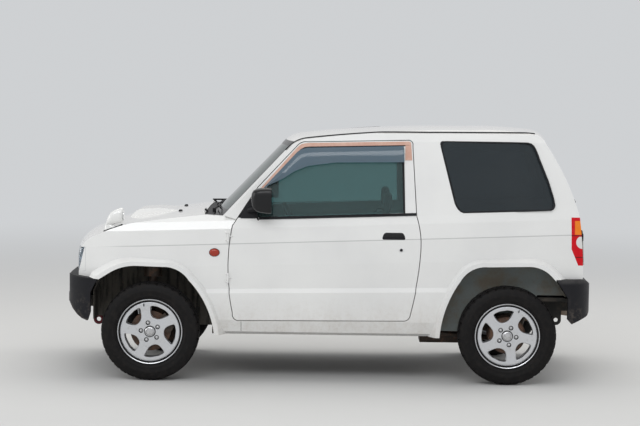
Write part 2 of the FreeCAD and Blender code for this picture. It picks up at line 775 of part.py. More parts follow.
# Floor with its step up to the load floor, and the bulkhead
floor_path = [
    (-sheet.bulkheadX, sheet.floorHeight),
    (rear_x - 520, sheet.floorHeight),
    (rear_x - 440, sheet.loadFloor),
    (tail_x, sheet.loadFloor),
    (tail_x, sheet.loadFloor + sheet.floorWall),
    (rear_x - 455, sheet.loadFloor + sheet.floorWall),
    (rear_x - 535, sheet.floorHeight + sheet.floorWall),
    (-sheet.bulkheadX + 45, sheet.floorHeight + sheet.floorWall),
    (-sheet.bulkheadX + 45, 1000),
    (-sheet.bulkheadX, 1000),
]
under_sill = Part.makeBox(far, far, 400, Vector(-far / 2, -far / 2, sheet.sillHeight - 380))
liners = []
for end, inner in (("front", sheet.linerFront), ("rear", sheet.linerRear)):
    liner = liner_zone[end].cut([arch_plug(end, 0, inner), under_sill])
    liners.append(liner.common(cabin_hollow if end == "rear" else front_hollow))
# Steering axis of the left front wheel, through the ball joint and the strut's upper mount
ball = Vector(front_x, -sheet.ballY, sheet.ballHeight)
mount_top = Vector(front_x, -sheet.steerTopY, sheet.steerTop)
steer_way = (mount_top - ball).normalize()
hub_cut = (sheet.tyreRadius - ball.z) / steer_way.z
joint_centre = ball + steer_way * hub_cut
tower_foot = Vector(front_x, -sheet.steerTopY - 34, 690)
tower_way = (mount_top - tower_foot).normalize()
tower = rod(tower_foot, mount_top + tower_way * 10, 96).cut(rod(tower_foot, mount_top - tower_way * 4, 88))
stud = rod(mount_top - steer_way * 40, mount_top + steer_way * 30, 10)
stud_bore = rod(mount_top - steer_way * 40, mount_top + steer_way * 40, 10 + sheet.runningFit)
front_liner, rear_liner = liners
shaft_gap = Part.makeBox(400, 60, 320, Vector(front_x - 200, -sheet.linerFront - 30, 180))
front_liner = front_liner.cut([rod(tower_foot - tower_way * 60, mount_top - tower_way * 4, 88), shaft_gap])
axle_gap = Part.makeBox(380, 60, 140, Vector(rear_x - 190, -sheet.linerRear - 30, 300))
rear_liner = rear_liner.cut(axle_gap)
tow_gaps = [Part.makeBox(400, far, 172, Vector(front_x - 730, -far / 2, 200)),
            Part.makeBox(500, far, 360, Vector(rear_x + 200, -far / 2, 200))]
front_liner = front_liner.fuse(tower.cut(arch_plug("front"))).cut([stud_bore, fender, tow_gaps[0]])
rear_liner = rear_liner.cut(tow_gaps[1])
wheelhouses = [largest(front_liner), largest(rear_liner)]
feature("wheelhouses", Part.makeCompound(wheelhouses + [mirrored(each) for each in wheelhouses]))

# Chassis rails, cross members and tow eyes
rail_path = [
    (nose_x + sheet.bumperWall + 25, 430),
    (-720, 430),
    (-600, 280),
    (rear_x - 560, 280),
    (rear_x - 420, 440),
    (tail_x - sheet.bumperWall - 25, 440),
    (tail_x - sheet.bumperWall - 25, sheet.loadFloor),
    (rear_x - 440, sheet.loadFloor),
    (rear_x - 520, sheet.floorHeight),
    (-590, sheet.floorHeight),
    (-700, 500),
    (nose_x + sheet.bumperWall + 25, 500),
]
rail_low = sheet.railFrontY - sheet.railWidth / 2
rail_high = sheet.railFrontY + sheet.railWidth / 2
rail = prism("xz", -rail_high, -rail_low, rail_path)
cross_rows = (
    # place along the car, underside, width along the car, height
    (nose_x + 80, 440, 60, 50),
    (-560, 290, 70, 50),
    (rear_x - 620, 290, 60, 50),
    (rear_x + 330, 450, 60, 60),
)
chassis = rail.fuse(mirrored(rail))
for x, foot, width, height in cross_rows:
    chassis = chassis.fuse(Part.makeBox(width, 2 * rail_low + 20, height, Vector(x, -rail_low - 10, foot)))


def tow_eye(x, z, lean):
    """A tow eye under the left rail: a plate with a round hole."""
    plate = prism("xz", -rail_low - 34 - sheet.towPlate / 2, -rail_low - 34 + sheet.towPlate / 2, [
        (x - 34, z),
        (x, z - 34, x + 34, z),
        (x + 40 + lean, 445),
        (x - 40 + lean, 445),
    ])
    hole = rod((x, -rail_high - 20, z), (x, -rail_low + 20, z), sheet.towEye)
    return plate.cut(hole)


chassis = chassis.multiFuse([tow_eye(front_x - 370, 343, 6), tow_eye(rear_x + 348, 377, -6)])
feature("chassis_rails", largest(chassis))

floor = prism("xz", -far, far, floor_path).common(cabin_hollow)
floor = floor.cut([liner_zone["front"], liner_zone["rear"],
                   mirrored(liner_zone["front"]), mirrored(liner_zone["rear"]), fender, mirrored(fender),
                   chassis])
feature("floor_pan", largest(floor))

# Engine with its gearbox, one plain mass over the front axle's line
engine = block("EngineMass", ("-1120", "-300", "430"), ("-1120 + engineLength - 140", "300", "900"))
gearbox = block("GearboxMass", ("-760", "-120", "395"), ("-690", "120", "600"))
sump = block("SumpMass", ("-1030", "-190", "400"), ("-820", "190", "450"))
engine_block = joined("engine_block", [engine, gearbox, sump])
doc.recompute()


# Wheels, drawn about their own middle with the axle along Y and the road side towards -Y
def ring_form(profile):
    """A drawing of radius and place along the axle, turned round the axle."""
    face = Part.Face(wire("yz", 0, [(place, radius) for radius, place in profile]))
    return face.revolve(Vector(), Vector(0, 1, 0), 360)


def rim_form():
    """Rim, five spokes and hub of a wheel in one piece."""
    seat, flange, half = sheet.rimSeat, sheet.rimFlange, sheet.rimWidth / 2
    barrel = ring_form([
        (flange, -half - 7),
        (flange, -half),
        (seat, -half),
        (seat, 25 - half),
        (seat - 18, 40 - half),
        (seat - 18, half - 40),
        (seat, half - 25),
        (seat, half),
        (flange, half),
        (flange, half + 7),
        (flange - 8, half + 7),
        (seat - 8, half),
        (seat - 8, half - 22),
        (seat - 26, half - 38),
        (seat - 26, 38 - half),
        (seat - 8, 22 - half),
        (seat - 8, -half + 2),
        (flange - 8, -half - 7),
    ])
    hub = ring_form([
        (0, -sheet.hubFace - 24),
        (sheet.hubBore, -sheet.hubFace - 24),
        (sheet.hubBore + 4, -sheet.hubFace - 16),
        (76, -sheet.hubFace - 16),
        (80, -sheet.hubFace),
        (0, -sheet.hubFace),
    ])
    spoke = Part.makeLoft([
        wire("xy", 48, [(-36, -sheet.hubFace), (36, -sheet.hubFace),
                        (34, -sheet.hubFace - 20), (-34, -sheet.hubFace - 20)]),
        wire("xy", seat - 4, [(-31, 16 - half), (31, 16 - half), (24, -half - 3), (-24, -half - 3)]),
    ], True, True)
    body = hub
    for number in range(5):
        arm = spoke.copy()
        arm.rotate(Vector(), Vector(0, 1, 0), 72 * number)
        body = body.fuse(arm)
    body = body.fuse(barrel)
    for number in range(5):
        angle = math.radians(72 * number)
        x, z = sheet.boltCircle * math.sin(angle), sheet.boltCircle * math.cos(angle)
        body = body.cut(rod((x, -sheet.hubFace - 30, z), (x, 0, z), sheet.boltHole))
        body = body.cut(rod((x, -sheet.hubFace - 30, z), (x, -sheet.hubFace - 7, z), sheet.boltHole + 8))
    return body.removeSplitter()


def tyre_form():
    """A plain tyre that sits on the rim's seats."""
    half = sheet.tyreWidth / 2
    return ring_form([
        (sheet.rimSeat, -sheet.rimWidth / 2),
        (sheet.rimFlange + 2, -sheet.rimWidth / 2),
        ((sheet.rimFlange + sheet.tyreRadius) / 2 - 6, -half),
        (sheet.tyreRadius - 19, 7 - half),
        (sheet.tyreRadius, 25 - half),
        (sheet.tyreRadius, half - 25),
        (sheet.tyreRadius - 19, half - 7),
        ((sheet.rimFlange + sheet.tyreRadius) / 2 - 6, half),
        (sheet.rimFlange + 2, sheet.rimWidth / 2),
        (sheet.rimSeat, sheet.rimWidth / 2),
    ])


def disc_form():
    """Brake disc with its hub and spindle."""
    return ring_form([
        (0, -sheet.hubFace),
        (72, -sheet.hubFace),
        (72, -18),
        (sheet.discRadius, -18),
        (sheet.discRadius, 4),
        (62, 4),
        (62, -28),
        (38, -28),
        (38, 6),
        (sheet.spindle, 6),
        (sheet.spindle, 24),
        (0, 24),
    ])


def drum_form():
    """Brake drum with its hub and spindle."""
    return ring_form([
        (0, -sheet.hubFace),
        (sheet.drumRadius - 10, -sheet.hubFace),
        (sheet.drumRadius, -sheet.hubFace + 14),
        (sheet.drumRadius, 34),
        (sheet.drumRadius - 12, 34),
        (sheet.drumRadius - 12, -24),
        (38, -24),
        (38, 26),
        (sheet.spindle, 26),
        (sheet.spindle, 76),
        (0, 76),
    ])


rim, tyre, disc, brake_drum = rim_form(), tyre_form(), disc_form(), drum_form()
wheel_rows = (
    # corner, place along the car, side of the car, turn about the axle, brake's name and form
    ("front_left", front_x, -1, -13, "disc", disc),
    ("front_right", front_x, 1, -13, "disc", disc),
    ("rear_left", rear_x, -1, 24, "drum", brake_drum),
    ("rear_right", rear_x, 1, 24, "drum", brake_drum),
)
for corner, x, side, turned, brake_name, brake in wheel_rows:
    facing = Rotation(Vector(0, 0, 1), 90 + 90 * side) * Rotation(Vector(0, 1, 0), turned)
    spot = Placement(Vector(x, side * wheel_y, sheet.tyreRadius), facing)
    feature(f"wheel_{corner}_rim", rim, spot)
    feature(f"wheel_{corner}_tyre", tyre, spot)
    feature(f"wheel_{corner}_{brake_name}", brake, spot)

# Knuckle of the left front wheel with its strut, spring and caliper
hub_z = sheet.tyreRadius
joint_ball = 37


def knuckle_form():
    """Bearing housing, joint ball, lug, strut and caliper that steer with the left wheel."""
    housing = rod((front_x, 10 - wheel_y, hub_z), joint_centre, 48)
    centre_ball = Part.makeSphere(joint_ball, joint_centre)
    lug = prism("yz", front_x - 24, front_x + 24, [
        (-wheel_y + 12, hub_z - 20),
        (ball.y - 14, ball.z + 16),
        (ball.y + 16, ball.z + 16),
        (joint_centre.y + 10, hub_z - 20),
    ])
    stud = rod(ball - steer_way * 16, ball + steer_way * 30, 9)
    strut_foot = Vector(front_x, -sheet.steerTopY - 48, 398)
    strut_way = (mount_top - strut_foot).normalize()
    bracket = prism("yz", front_x - 22, front_x + 22, [
        (joint_centre.y - 34, hub_z + 30),
        (joint_centre.y - 20, hub_z + 46),
        (strut_foot.y - 26, 440),
        (strut_foot.y + 26, 440),
        (strut_foot.y + 26, 398),
        (joint_centre.y + 34, hub_z + 46),
        (joint_centre.y + 8, hub_z + 30),
    ])
    tube = rod(strut_foot, strut_foot + strut_way * 260, 24)
    piston = rod(strut_foot + strut_way * 250, mount_top - steer_way * 6, 11)
    seat_foot = strut_foot + strut_way * 250
    seat = rod(seat_foot, seat_foot + strut_way * 8, 62)
    spring_top = mount_top - strut_way * 22
    spring = rod(seat_foot + strut_way * 6, spring_top, 58).cut(rod(seat_foot, spring_top, 45))
    cap = rod(spring_top - strut_way * 2, spring_top + strut_way * 8, 60)
    pin = rod(mount_top - steer_way * 24, mount_top + steer_way * 24, 10)
    caliper = prism("xz", -wheel_y - 31, -wheel_y + 24, [
        (front_x + 84, hub_z - 8),
        (front_x + 84, hub_z + 60),
        (front_x + 62, hub_z + 88),
        (front_x + 92, hub_z + 118),
        (front_x + 150, hub_z + 24),
        (front_x + 128, hub_z - 8),
    ])
    slot = rod((front_x, -wheel_y - 23, hub_z), (front_x, -wheel_y + 9, hub_z), sheet.discRadius + 5)
    arm = Part.makeBox(90, 14, 54, Vector(front_x, 10 - wheel_y, hub_z))
    body = housing.multiFuse([centre_ball, lug, stud, bracket, tube, piston, seat, spring, cap, pin,
                              caliper.cut(slot), arm])
    return body.cut(rod((front_x, -wheel_y, hub_z), (front_x, 25 - wheel_y, hub_z),
                        sheet.spindle + sheet.runningFit))


knuckle = largest(knuckle_form())
feature("knuckle_left", knuckle)
feature("knuckle_right", mirrored(knuckle))

# Front cross member, differential, lower arms and half shafts
lower_arm = prism("xy", sheet.ballHeight - 14, sheet.ballHeight + 10, [
    (front_x - 26, ball.y - 2),
    (front_x - 12, ball.y - 18),
    (front_x + 12, ball.y - 18),
    (front_x + 26, ball.y - 2),
    (front_x + 60, -330),
    (front_x + 150, -300),
    (front_x + 150, -240),
    (front_x - 90, -240),
    (front_x - 90, -300),
    (front_x - 30, -360),
])
lower_arm = lower_arm.cut(rod(ball - steer_way * 40, ball + steer_way * 40, 9 + sheet.runningFit))
cross_beam = Part.makeBox(240, 640, 70, Vector(front_x - 90, -320, sheet.ballHeight - 8))
hanger = Part.makeBox(60, 36, 220, Vector(front_x + 60, -336, 210))
differential = rod((front_x, -90, hub_z), (front_x, 90, hub_z), 96)
half_shaft = rod((front_x, -80, hub_z), (front_x, joint_centre.y + joint_ball - 7, hub_z), 14)
boot = Part.makeCone(24, 40, 70, Vector(front_x, -130, hub_z), Vector(0, 1, 0))
gaiter = Part.makeCone(32, 22, 60, Vector(front_x, joint_centre.y + joint_ball + 1, hub_z), Vector(0, 1, 0))
front_gear = cross_beam.multiFuse([differential])
for part in (lower_arm, hanger, half_shaft, boot, gaiter):
    front_gear = front_gear.fuse(part).fuse(mirrored(part))
clear_ball = Part.makeSphere(joint_ball + 1, joint_centre)
front_gear = front_gear.cut([clear_ball, mirrored(clear_ball)])
feature("front_suspension", largest(front_gear))

# Rear axle, bored for the wheels' spindles
axle_end = wheel_y - 46
axle = rod((rear_x, -axle_end, hub_z), (rear_x, axle_end, hub_z), sheet.axleTube)
plate = rod((rear_x, -axle_end, hub_z), (rear_x, -axle_end + 7, hub_z), sheet.drumRadius + 6)
casing = Part.makeSphere(104, Vector(rear_x, 0, hub_z))
snout = Part.makeCone(64, 38, 170, Vector(rear_x - 60, 0, hub_z), Vector(-1, 0, 0))
bore = rod((rear_x, -wheel_y, hub_z), (rear_x, 90 - wheel_y, hub_z), sheet.spindle + sheet.runningFit)
rear_axle = axle.multiFuse([plate, mirrored(plate), casing, snout]).cut([bore, mirrored(bore)])
feature("rear_axle", largest(rear_axle))

# Links, coils and dampers of the rear axle: two ends and a radius each
spring_y = 440
link_rows = (
    # ends of a left link, radius
    ((rear_x - 500, -spring_y, 300), (rear_x - 34, -spring_y, 262), 17),
    ((rear_x - 380, -250, 440), (rear_x, -250, hub_z + 24), 13),
    ((rear_x - 380, -250, 432), (rear_x - 380, -250, sheet.loadFloor - 0.5), 15),
    ((rear_x + 70, -spring_y, 250), (rear_x + 150, -410, 519), 24),
    ((rear_x, -spring_y, 338), (rear_x, -spring_y, 519), 56),
)
links = [rod(*row) for row in link_rows]
links.append(Part.makeBox(120, 50, 110, Vector(rear_x - 40, -spring_y - 25, 236)))
links.append(Part.makeBox(56, 44, 60, Vector(rear_x - 528, -spring_y - 22, 290)))
link_set = links[0].multiFuse(links[1:]).cut(rear_axle)
feature("rear_suspension", both_sides(link_set).cut(chassis).cut(floor))

# Propeller shafts between the gearbox and the two axles
transfer = Part.makeBox(240, 200, 120, Vector(-780, -100, sheet.floorHeight - 127))
bell = Part.makeBox(80, 200, 120, Vector(-780, -100, sheet.floorHeight - 20))
prop_rear = rod((-600, 30, 290), (rear_x - 232, 0, hub_z), 30)
prop_front = rod((-700, -40, 290), (front_x + 80, -40, hub_z), 20)
shafts = transfer.multiFuse([bell, prop_rear, prop_front])
feature("drive_shafts", largest(shafts.cut([rear_axle, front_gear, engine_block.Shape, chassis, floor])))

# Fuel tank and exhaust under the floor
tank_x = 600
tank = block("TankMass", (f"{tank_x}", "-300", "210"), (f"{tank_x} + tankLength", "-70", "floorHeight"))
tank_form = doc.addObject("Part::Fillet", "fuel_tank")
tank_form.Base = tank
tank_form.Edges = [(number, 18, 18) for number in (1, 3, 5, 7, 9, 10)]
publish(tank_form, "fuel_tank")


def pipe(points, radius):
    """A bent pipe of straight runs with a ball at each bend."""
    parts = [rod(start, end, radius) for start, end in zip(points, points[1:])]
    parts += [Part.makeSphere(radius, Vector(each)) for each in points[1:-1]]
    return parts[0].multiFuse(parts[1:])


exhaust_route = [
    (-640, 250, 300),
    (-300, 235, 262),
    (rear_x - 420, 235, 262),
    (rear_x - 260, 200, 400),
    (rear_x + 180, 200, 420),
    (rear_x + 250, 240, 380),
]
muffler = rod((rear_x + 200, 130, 372), (rear_x + 200, 460, 372), 64)
tailpipe = pipe([(rear_x + 220, 400, 360), (rear_x + 400, 430, 345), (tail_x - 30, 430, 330)], sheet.pipeRadius)
catalyst = rod((-180, 235, 262), (80, 235, 262), 46)
hangers = [Part.makeBox(20, 16, 110, Vector(-60, 227, 262)), Part.makeBox(20, 16, 130, Vector(rear_x + 190, 250, 420))]
exhaust = pipe(exhaust_route, sheet.pipeRadius).multiFuse([muffler, tailpipe, catalyst] + hangers)
feature("exhaust", largest(exhaust.cut([chassis, floor, rear_axle])))

# Dashboard with the steering column's shroud
dash_path = [
    (-sheet.bulkheadX + 45, 780),
    (-440, 780),
    (-395, 860),
    (-392, 930, -430, 985),
    (-520, 1010),
    (-sheet.bulkheadX + 45, 1000),
]
wheel_centre = Vector(-238, sheet.steerY, 905)
column_way = Vector(-0.9, 0, -0.436).normalize()
shroud = rod(wheel_centre + column_way * 62, wheel_centre + column_way * 260, 36)
column = rod(wheel_centre - column_way * 8, wheel_centre + column_way * 130, 13)
column_bore = rod(wheel_centre, wheel_centre + column_way * 132, 13 + sheet.runningFit)
dash = prism("xz", -far, far, dash_path).common(cabin_hollow)
console = Part.makeBox(300, 180, 420, Vector(-sheet.bulkheadX + 60, -90, sheet.floorHeight + sheet.floorWall))
dash = dash.multiFuse([shroud, console]).cut([column_bore])
door_clear = Part.makeBox(far, 200, 700, Vector(-far / 2, -side_half + sheet.wallLow - 182, 500))
feature("dashboard", largest(dash.cut([door_clear, mirrored(door_clear), floor])))

# Steering wheel, turned about its column
grip = Part.makeTorus(sheet.steerWheel, sheet.steerGrip, wheel_centre, column_way)
hub = rod(wheel_centre - column_way * 6, wheel_centre + column_way * 50, 46)
across = Vector(0, 1, 0)
down = column_way.cross(across).normalize()
arms = [rod(wheel_centre + column_way * 8, wheel_centre + way * (sheet.steerWheel - 2), 11)
        for way in (across, across * -1, down)]
feature("steering_wheel", largest(grip.multiFuse([hub, column] + arms)))

# Seats: side view of a front seat and of the rear bench, pulled across
floor_top = sheet.floorHeight + sheet.floorWall
load_top = sheet.loadFloor + sheet.floorWall
front_seat_path = [
    (-160, floor_top),
    (250, floor_top),
    (270, 560),
    (400, 1030),
    (412, 1200),
    (345, 1205),
    (300, 1040),
    (200, 640),
    (-180, 690),
    (-210, 600),
    (-190, 540),
]
rear_seat_path = [
    (rear_x - 455, load_top),
    (rear_x - 110, load_top),
    (rear_x + 40, 1040),
    (rear_x - 50, 1050),
    (rear_x - 150, 720),
    (rear_x - 500, 740),
    (rear_x - 520, 640),
]
seat_low = sheet.seatPitch - sheet.seatWidth / 2
feature("front_seats", both_sides(prism("xz", -seat_low - sheet.seatWidth, -seat_low, front_seat_path)))
feature("rear_seat", prism("xz", -sheet.linerRear + 12, sheet.linerRear - 12, rear_seat_path))

# Wipers at the windscreen's foot, and the small mirror on the left front wing
wiper_parts = []
for y in (-420, 60):
    foot = Vector(-sheet.screenFoot - 17, y, sheet.cowlHeight - 24)
    wiper_parts.append(rod(foot, foot + Vector(0, 0, 38), 12))
    wiper_parts.append(rod(foot + Vector(0, 0, 34), foot + Vector(40, 380, 52), 5))
wipers = wiper_parts[0].multiFuse(wiper_parts[1:])
feature("wipers", wipers.cut([cabin_skin, cowl]))
fin = prism("xz", -648, -630, [
    (front_x - 302, 938),
    (front_x - 188, 1096),
    (front_x - 172, 1098, -1306, 1086),
    (front_x - 176, 975),
])
feature("fender_mirror", largest(fin.cut([front_skin, fender])))

doc.recompute()
faults = [thing.Name for thing in doc.Objects if "Invalid" in thing.State or "Error" in thing.State]
for thing in pieces:
    if thing.Shape.isNull() or not thing.Shape.isValid() or not thing.Shape.Solids:
        faults.append(thing.Label)
if faults:
    raise ValueError("not sound: " + ", ".join(faults))
os.makedirs("parts", exist_ok=True)
for thing in pieces:
    thing.Shape.exportStep(f"parts/{thing.Label}.step")
    print(thing.Label, len(thing.Shape.Solids), round(thing.Shape.Volume / 1e6, 2), "litres")
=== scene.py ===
import json
import math
import bpy
import bmesh
from mathutils import Matrix, Vector
from mathutils.bvhtree import BVHTree


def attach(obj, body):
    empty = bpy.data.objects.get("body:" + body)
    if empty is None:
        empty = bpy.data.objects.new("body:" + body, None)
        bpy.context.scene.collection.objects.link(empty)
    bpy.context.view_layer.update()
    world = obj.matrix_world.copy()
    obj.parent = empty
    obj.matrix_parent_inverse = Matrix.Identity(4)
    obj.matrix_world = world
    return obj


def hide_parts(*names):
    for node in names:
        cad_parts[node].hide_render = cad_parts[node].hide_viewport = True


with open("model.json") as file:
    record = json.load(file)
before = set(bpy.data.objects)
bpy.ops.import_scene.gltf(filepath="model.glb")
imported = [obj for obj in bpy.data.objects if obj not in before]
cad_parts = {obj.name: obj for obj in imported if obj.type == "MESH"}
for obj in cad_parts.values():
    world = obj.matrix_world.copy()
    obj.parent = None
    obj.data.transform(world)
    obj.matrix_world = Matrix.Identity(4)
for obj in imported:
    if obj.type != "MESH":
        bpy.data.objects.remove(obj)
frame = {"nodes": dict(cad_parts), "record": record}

nodes = frame["nodes"]
scene = bpy.context.scene
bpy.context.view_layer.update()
print("frame loaded,", len(nodes), "nodes")

# The camera stands where the photograph was taken; angles in degrees
cameraSetup = {
    "place": (0.0273, -13.1364, 2.0005),
    "focalPixels": 1962.59,
    "imageWidth": 640,
    "sensor": 36,
    "yaw": 0.419,
    "pitch": 4.206,
    "roll": 0.7215,
}


def placeCamera(setup):
    data = bpy.data.cameras.new("photoCamera")
    data.sensor_width = setup["sensor"]
    data.lens = setup["sensor"] * setup["focalPixels"] / setup["imageWidth"]
    data.clip_end = 200
    camera = bpy.data.objects.new("photoCamera", data)
    scene.collection.objects.link(camera)
    yaw, pitch, roll = (math.radians(setup[key]) for key in ("yaw", "pitch", "roll"))
    turn = Matrix.Rotation(yaw, 4, "Z") @ Matrix.Rotation(math.pi / 2 - pitch, 4, "X")
    camera.matrix_world = Matrix.Translation(setup["place"]) @ turn @ Matrix.Rotation(roll, 4, "Z")
    scene.camera = camera


placeCamera(cameraSetup)


# Sums on node sockets read as Python
def join(tree, value, slot):
    if isinstance(value, Flow):
        tree.links.new(value.socket, slot)
    else:
        slot.default_value = value


class Flow:
    def __init__(self, tree, socket):
        self.tree, self.socket = tree, socket

    def maths(self, operation, *values):
        node = self.tree.nodes.new("ShaderNodeMath")
        node.operation = operation
        for slot, value in zip(node.inputs, values):
            join(self.tree, value, slot)
        return Flow(self.tree, node.outputs[0])

    def __add__(self, other):
        return self.maths("ADD", self, other)

    def __radd__(self, other):
        return self.maths("ADD", other, self)

    def __sub__(self, other):
        return self.maths("SUBTRACT", self, other)

    def __rsub__(self, other):
        return self.maths("SUBTRACT", other, self)

    def __mul__(self, other):
        return self.maths("MULTIPLY", self, other)

    def __pow__(self, other):
        return self.maths("POWER", self, other)

    def __abs__(self):
        return self.maths("ABSOLUTE", self)

    def sine(self):
        return self.maths("SINE", self)

    def most(self, other):
        return self.maths("MAXIMUM", self, other)

    # 0 below low, 1 above high, smooth between
    def rise(self, low, high):
        node = self.tree.nodes.new("ShaderNodeMapRange")
        node.interpolation_type = "SMOOTHSTEP"
        for slot, value in zip(node.inputs, (self, low, high, 0.0, 1.0)):
            join(self.tree, value, slot)
        return Flow(self.tree, node.outputs[0])


# Short names for the shader's inputs
shaderInputs = {
    "colour": "Base Color",
    "rough": "Roughness",
    "metal": "Metallic",
    "coat": "Coat Weight",
    "coatRough": "Coat Roughness",
    "clear": "Transmission Weight",
    "index": "IOR",
    "sheen": "Sheen Weight",
    "shine": "Specular IOR Level",
    "normal": "Normal",
}


class Finish:
    def __init__(self, name, **shader):
        self.material = bpy.data.materials.new(name)
        self.material.use_nodes = True
        self.tree = self.material.node_tree
        self.shader = self.tree.nodes["Principled BSDF"]
        self.place = self.add("ShaderNodeTexCoord", out="Object")
        self.x, self.y, self.z = self.split(self.place)
        for key, value in shader.items():
            self.feed(key, value)

    # A node by its type, its settings and the values of its sockets
    def add(self, kind, settings=None, sockets=None, out=0):
        node = self.tree.nodes.new(kind)
        for key, value in (settings or {}).items():
            setattr(node, key, value)
        for key, value in (sockets or {}).items():
            join(self.tree, value, node.inputs[key])
        return Flow(self.tree, node.outputs[out])

    def split(self, vector):
        node = self.tree.nodes.new("ShaderNodeSeparateXYZ")
        join(self.tree, vector, node.inputs[0])
        return [Flow(self.tree, socket) for socket in node.outputs]

    def noise(self, scale, detail=3.0, roughness=0.55, stretch=(1, 1, 1)):
        vector = self.place
        if stretch != (1, 1, 1):
            vector = self.add("ShaderNodeMapping", {}, {"Vector": self.place, "Scale": stretch})
        sockets = {"Vector": vector, "Scale": scale, "Detail": detail, "Roughness": roughness}
        return self.add("ShaderNodeTexNoise", {}, sockets)

    def mix(self, share, first, second):
        first, second = [value if isinstance(value, Flow) else (*value, 1) for value in (first, second)]
        return self.add("ShaderNodeMix", {"data_type": "RGBA"}, {0: share, 6: first, 7: second}, out=2)

    def bump(self, height, distance, strength=1.0):
        sockets = {"Height": height, "Distance": distance, "Strength": strength}
        self.feed("normal", self.add("ShaderNodeBump", {}, sockets))

    def feed(self, key, value):
        join(self.tree, value, self.shader.inputs[shaderInputs[key]])


# Finishes; every length in them is in metres
paintLook = {
    "white": (0.80, 0.80, 0.785),
    "shade": (0.74, 0.74, 0.73),
    # dust colour, used both for real dust low on the body and for the painted sunlight tint of the tops
    "dust": (0.42, 0.36, 0.29),
    "dustHeights": (0.30, 0.62),
    # strength of the patchy cream tint on upward faces, a painted warm sunlight
    "tintPatches": 0.16,
    "creaseHeight": 0.905,
    "creaseRise": 0.038,
    "creaseHalf": 0.004,
    "creaseStart": (-1.52, -1.2),
    "creaseShadowColour": (0.25, 0.25, 0.25),
    "flank": (0.62, 0.64),
}


def whitePaint(look):
    f = Finish("whitePaint", coat=1.0, coatRough=0.05)
    clouds = f.noise(1.7, 4.0).rise(0.35, 0.75)
    colour = f.mix(clouds, look["white"], look["shade"])
    low = 1 - f.z.rise(*look["dustHeights"])
    speck = f.noise(38.0, 5.0, 0.7).rise(0.42, 0.7)
    streak = f.noise(9.0, 4.0, 0.6, (1, 1, 0.25)).rise(0.4, 0.7)
    # Upward faces get a patchy cream tint: painted warm sunlight on the tops
    upward = f.split(f.add("ShaderNodeNewGeometry", out="Normal"))[2].rise(0.72, 0.98)
    tintPatches = upward * f.noise(5.0, 4.0, 0.6).rise(0.25, 0.8) * look["tintPatches"]
    # The dust mask sums real dust low on the body and the painted sunlight tint of the tops; both also raise
    # roughness
    dust = low * (0.10 + speck * 0.18 + streak * 0.16) + tintPatches
    colour = f.mix(dust, colour, look["dust"])
    # A thin dark line along the side crease is painted shadow of the crease; the same band is pressed in as a
    # bump groove
    away = abs(f.z - (f.x * look["creaseRise"] + look["creaseHeight"]))
    creaseShadowBand = (1 - away.rise(look["creaseHalf"] * 0.4, look["creaseHalf"])) * abs(f.y).rise(*look["flank"])
    creaseShadowBand = creaseShadowBand * f.x.rise(*look["creaseStart"])
    f.feed("colour", f.mix(creaseShadowBand * 0.5, colour, look["creaseShadowColour"]))
    f.feed("rough", 0.30 + dust * 1.2 + f.noise(220.0, 2.0) * 0.05)
    f.bump(f.noise(420.0, 1.0) * 0.04 - creaseShadowBand, 0.002, 0.25)
    return f.material


def trimBlack(name="trimBlack", colour=(0.010, 0.010, 0.012), rough=0.5):
    f = Finish(name, shine=0.2)
    fade = f.noise(14.0, 4.0).rise(0.45, 0.8)
    f.feed("colour", f.mix(fade * 0.3, colour, (0.04, 0.04, 0.042)))
    f.feed("rough", rough + fade * 0.15)
    f.bump(f.noise(900.0, 2.0), 0.0004, 0.5)
    return f.material


bumperLook = {
    "black": (0.0105, 0.0105, 0.013),
    "grey": (0.105, 0.102, 0.10),
    "dust": (0.20, 0.17, 0.14),
}


def bumperBlack(look):
    f = Finish("bumperBlack", shine=0.22)
    patch = f.noise(6.0, 5.0, 0.65).rise(0.38, 0.72)
    top = f.z.rise(0.645, 0.675) * (0.35 + f.x.rise(1.4, 1.5) * 0.45)
    colour = f.mix(top * (0.35 + patch * 0.65), look["black"], look["grey"])
    low = (1 - f.z.rise(0.40, 0.60)) * f.noise(24.0, 5.0, 0.7).rise(0.45, 0.7)
    colour = f.mix(low * 0.35, colour, look["dust"])
    f.feed("colour", colour)
    f.feed("rough", 0.46 + patch * 0.16 + top * 0.2)
    f.bump(f.noise(650.0, 2.0, 0.5), 0.0006, 0.6)
    return f.material


linerLook = {
    "front": (0.085, 0.078, 0.066),
    "streak": (0.02, 0.019, 0.017),
    "rear": (0.17, 0.19, 0.185),
    "mud": (0.16, 0.125, 0.085),
}


def archLiner(look):
    f = Finish("archLiner", rough=0.85)
    streaks = f.noise(26.0, 3.0, 0.6, (1, 1, 0.12)).rise(0.45, 0.62)
    front = f.mix(streaks, look["front"], look["streak"])
    patch = f.noise(5.0, 5.0, 0.6).rise(0.42, 0.68)
    rear = f.mix(patch * 0.75, look["rear"], look["mud"])
    colour = f.mix(f.x.rise(-0.1, 0.1), front, rear)
    spray = f.noise(55.0, 5.0, 0.75).rise(0.5, 0.72)
    f.feed("colour", f.mix(spray * 0.45, colour, look["mud"]))
    f.bump(f.noise(70.0, 5.0, 0.7), 0.002, 0.5)
    return f.material


def underseal():
    f = Finish("underseal", rough=0.8)
    patch = f.noise(9.0, 5.0).rise(0.45, 0.7)
    f.feed("colour", f.mix(patch * 0.5, (0.035, 0.034, 0.032), (0.14, 0.11, 0.08)))
    f.bump(f.noise(120.0, 5.0, 0.7), 0.002, 0.6)
    return f.material


def rustedIron(name, base, rust, amount):
    f = Finish(name)
    bloom = f.noise(30.0, 6.0, 0.7).rise(0.62 - amount * 0.35, 0.8 - amount * 0.2)
    fine = f.noise(160.0, 4.0, 0.7)
    f.feed("colour", f.mix(fine * 0.5, f.mix(bloom, base, rust), (0.09, 0.05, 0.03)))
    f.feed("metal", 0.6 - bloom * 0.6)
    f.feed("rough", 0.5 + bloom * 0.35)
    f.bump(fine + bloom, 0.0012, 0.5)
    return f.material


